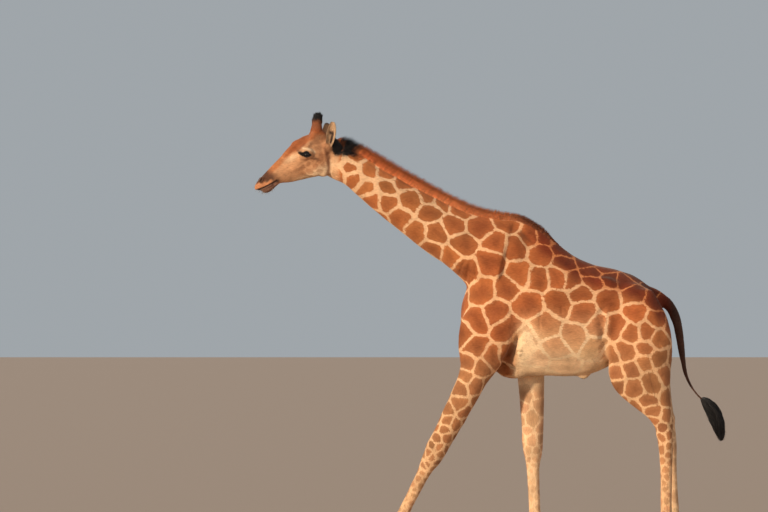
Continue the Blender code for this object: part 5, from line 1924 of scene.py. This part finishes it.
def make_ossicone_hair(side, name, shape):
    """Short hair up an ossicone, longer and black round its tip."""
    points, normals, faces = shape
    foot, tip = ossicone_line(side)
    axis = HEAD_AXES @ np.array((tip - foot).normalized())
    _, t = ossicone_colour(points, side)
    lots = []
    # Up the sides, round the tip and on top: where, count, length, width and lift.
    for keep, count, length, width, lift in (
        ((t < 0.74) & (t > 0.24), 4_200, 0.0070, 0.0008, 0.12),
        (t >= 0.60, 1_100, 0.013, 0.0010, 0.40),
        (t > 0.88, 420, 0.022, 0.0013, 1.2),
    ):
        count = tuft_count(count, 120)
        at, up = scatter(points, normals, faces, keep, count)
        way = axis - up * (up @ axis)[:, None]
        way = unit(way + up * lift + rng.normal(0, 0.16, (count, 3)))
        if lift > 1:
            way = unit(axis + 0.35 * up + rng.normal(0, 0.14, (count, 3)))
        colour = varied(ossicone_colour(at, side)[0], count, 0.12, 0.6, 1.5)
        long = length * rng.uniform(0.6, 1.1, count)
        if lift > 0.2:
            ahead = (to_head(at)[:, 0] - np.array(tip)[0]) / 0.02
            long = long * np.clip(1.0 - 0.35 * ahead + 0.25 * wobble(at, 0.012, 53), 0.35, 1.6)
        uv = uv_at(0.30 + 0.2 * (side > 0) + 0.1 * rng.random(count), 0.97)
        lots.append(grow(at, up, way, long, width, way * 0, 2, plain_marks(colour, count), uv, flat=0.3))
    hair = tuft_piece(name, lots, HAIR, lean=0.5)


def make_ear_hair(side, name, shape):
    """Long pale hair inside the ear, and a short coat and rim behind."""
    inner, normal, outer, t, s = shape
    tip = heading(*(inner[(t > 0.99)].mean(0) - inner[(t < 0.01)].mean(0)))
    count = tuft_count(3_800, 200)
    lots = []
    for inside in (True, False):
        weight = 3.0 * (1 - 0.97 * ear_hollow(t, s, side)) ** 2 if inside else np.ones(len(s))
        weight = weight * (t < 0.97)
        pick = rng.choice(len(s), size=count, p=weight / weight.sum())
        base = (inner if inside else outer)[pick] + rng.normal(0, 0.0009, (count, 3))
        up = normal[pick] * (1 if inside else -1)
        way = tip - up * (up @ tip)[:, None]
        way = unit(way + up * (0.35 if inside else 0.12) + rng.normal(0, 0.16, (count, 3)))
        if inside:
            colour = mix(srgb(250, 210, 166), srgb(206, 148, 106), rng.random(count) ** 2)
            long = rng.uniform(0.006, 0.015, count) * (1 - 0.4 * t[pick])
        else:
            # The back's colour, with its painted shade at the tip.
            colour = ear_back(t[pick])
            long = rng.uniform(0.005, 0.009, count)
        marks = plain_marks(varied(colour, count, 0.08, 0.7, 1.3), count)
        uv = uv_at(0.60 + 0.2 * (side > 0) + 0.1 * t[pick], 0.96 + 0.01 * s[pick])
        lots.append(grow(base, up, way, long, 0.0006, up * 0, 2, marks, uv, flat=0.3))
    tuft_piece(name, lots, HAIR, lean=0.6)


def make_lashes(side, name):
    """Stiff black lashes along the upper lid, and a few below."""
    out, back, up = eye_axes(side)
    lots = []
    for count, upper in ((230, True), (70, False)):
        share = rng.uniform(-0.95, 0.95, count)
        across = share * EYE_HALF_WIDTH
        edge = EYE_UPPER * (1 - np.abs(share) ** 2.6) if upper else -EYE_LOWER * (1 - share**2)
        rise = edge + (0.03 if upper else -0.03)
        face = unit(
            out * (np.cos(across) * np.cos(rise))[:, None]
            + back * (np.sin(across) * np.cos(rise))[:, None]
            + up * np.sin(rise)[:, None]
        )
        base = np.array(eye_place(side)) + face * (EYE_RADIUS + LID * 0.7)
        droop = -0.22 if upper else -0.30
        way = unit(face * 0.9 + up * droop + back * (share * 0.35)[:, None] + rng.normal(0, 0.06, (count, 3)))
        long = (0.024 if upper else 0.010) * (1 - 0.35 * share**2) * rng.uniform(0.75, 1.1, count)
        marks = plain_marks(srgb(14, 10, 9), count)
        face, way, bend = (v @ HEAD_AXES.T for v in (face, way, np.broadcast_to(up, (count, 3))))
        bend = bend * (0.12 if upper else -0.10)
        uv = uv_at(0.90 + 0.04 * share, 0.95 + 0.02 * (side > 0))
        lots.append(grow(from_head(base), face, way, long, 0.00045, bend, 3, marks, uv))
    tuft_piece(name, lots, HAIR)


def make_whiskers():
    """Sparse hairs round the lips, the chin and the nostrils."""
    tries = 340
    q = np.stack([rng.uniform(*ends, tries) for ends in ((0.0, 0.11), (-0.04, 0.04), (-0.07, 0.03))], 1)
    roots, ups = [], []
    for point in from_head(q):
        spot, normal, _, gap = SKIN_TREE.find_nearest(Vector(point))
        if spot is not None and gap < 0.03:
            roots.append(spot)
            ups.append(normal)
    roots, up = np.array(roots), np.array(ups)
    count = len(roots)
    way = unit(up + np.array((-0.35, 0, -0.35)) + rng.normal(0, 0.22, (count, 3)))
    long = rng.uniform(0.006, 0.022, count)
    colour = mix(srgb(70, 52, 42), PALE, rng.random(count) ** 2)
    uv = uv_at(0.86 + 0.1 * rng.random(count), 0.93)
    bend = np.array((0, 0, -0.25)) * np.ones((count, 1))
    lots = [grow(roots, up, way, long, 0.00035, bend, 3, plain_marks(colour, count), uv)]
    tuft_piece("whiskers", lots, HAIR)


# ---- Stage ----
def make_stage():
    """The floor, the sky, the lamps and the camera, which looks along +Y as in the photo."""
    floor_mesh = bpy.data.meshes.new("floor")
    floor_mesh.from_pydata([(-40, -40, 0), (40, -40, 0), (40, 60, 0), (-40, 60, 0)], [], [(0, 1, 2, 3)])
    floor = added("floor", floor_mesh)
    paint = bpy.data.materials.new("floor_paint")
    paint.use_nodes = True
    shader = paint.node_tree.nodes["Principled BSDF"]
    shader.inputs["Base Color"].default_value = (*srgb(176, 150, 128), 1)
    shader.inputs["Roughness"].default_value = 0.9
    floor_mesh.materials.append(paint)

    world = bpy.data.worlds.new("sky")
    bpy.context.scene.world = world
    world.use_nodes = True
    background = world.node_tree.nodes["Background"]
    background.inputs["Color"].default_value = (*srgb(214, 222, 228), 1)
    background.inputs["Strength"].default_value = 0.52

    for name, strength, colour, angle, way in (
        ("key", 3.35, (1.0, 0.88, 0.70), 3.0, (0.98, 1.0, -0.32)),
        ("fill", 0.30, (1.0, 0.90, 0.78), 40.0, (-0.9, 1.0, -0.12)),
        ("back", 0.45, (0.92, 0.94, 1.0), 40.0, (0.2, -1.0, -0.5)),
    ):
        lamp = bpy.data.lights.new(name, "SUN")
        lamp.energy, lamp.color, lamp.angle = strength, colour, math.radians(angle)
        sun = added(name, lamp)
        sun.rotation_mode = "QUATERNION"
        sun.rotation_quaternion = Vector(way).to_track_quat("-Z", "Y")

    lens = bpy.data.cameras.new("camera")
    lens.lens, lens.sensor_width = CAMERA_LENS, 36.0
    lens.clip_start, lens.clip_end = 0.1, 200
    camera = added("camera", lens)
    camera.location = CAMERA_PLACE + Vector((SHIFT.x, 0, 0))
    camera.rotation_euler = (math.radians(90), 0, 0)
    bpy.context.scene.camera = camera
    bpy.context.scene.view_settings.view_transform = "Standard"


COAT, HAIR, EYE, HORN = coat_material(), hair_material(), eye_material(), horn_material()

skin = make_skin()
shape_skin(skin)
co, n = mesh_arrays(skin.data)
faces = triangles_of(skin.data)
SKIN_TREE = BVHTree.FromPolygons([tuple(p) for p in co], [tuple(f) for f in faces])
seeds, cheeks = make_seeds(co, SKIN_TREE), make_cheek_seeds(co)
make_coat(co, n, faces, seeds, cheeks)
sharpen_marks(skin, seeds, cheeks)
finish_skin(skin, seeds, cheeks)
for side, name in NAMED_SIDES:
    make_eye(side, f"eyeball_{name}")
    make_lashes(side, f"lashes_{name}")
    make_ear_hair(side, f"ear_hair_{name}", make_ear(side, f"ear_leaf_{name}"))
    make_ossicone_hair(side, f"ossicone_hair_{name}", make_ossicone(side, f"ossicone_skin_{name}"))
make_hooves()
make_mane()
make_tail_tuft()
make_whiskers()
make_stage()
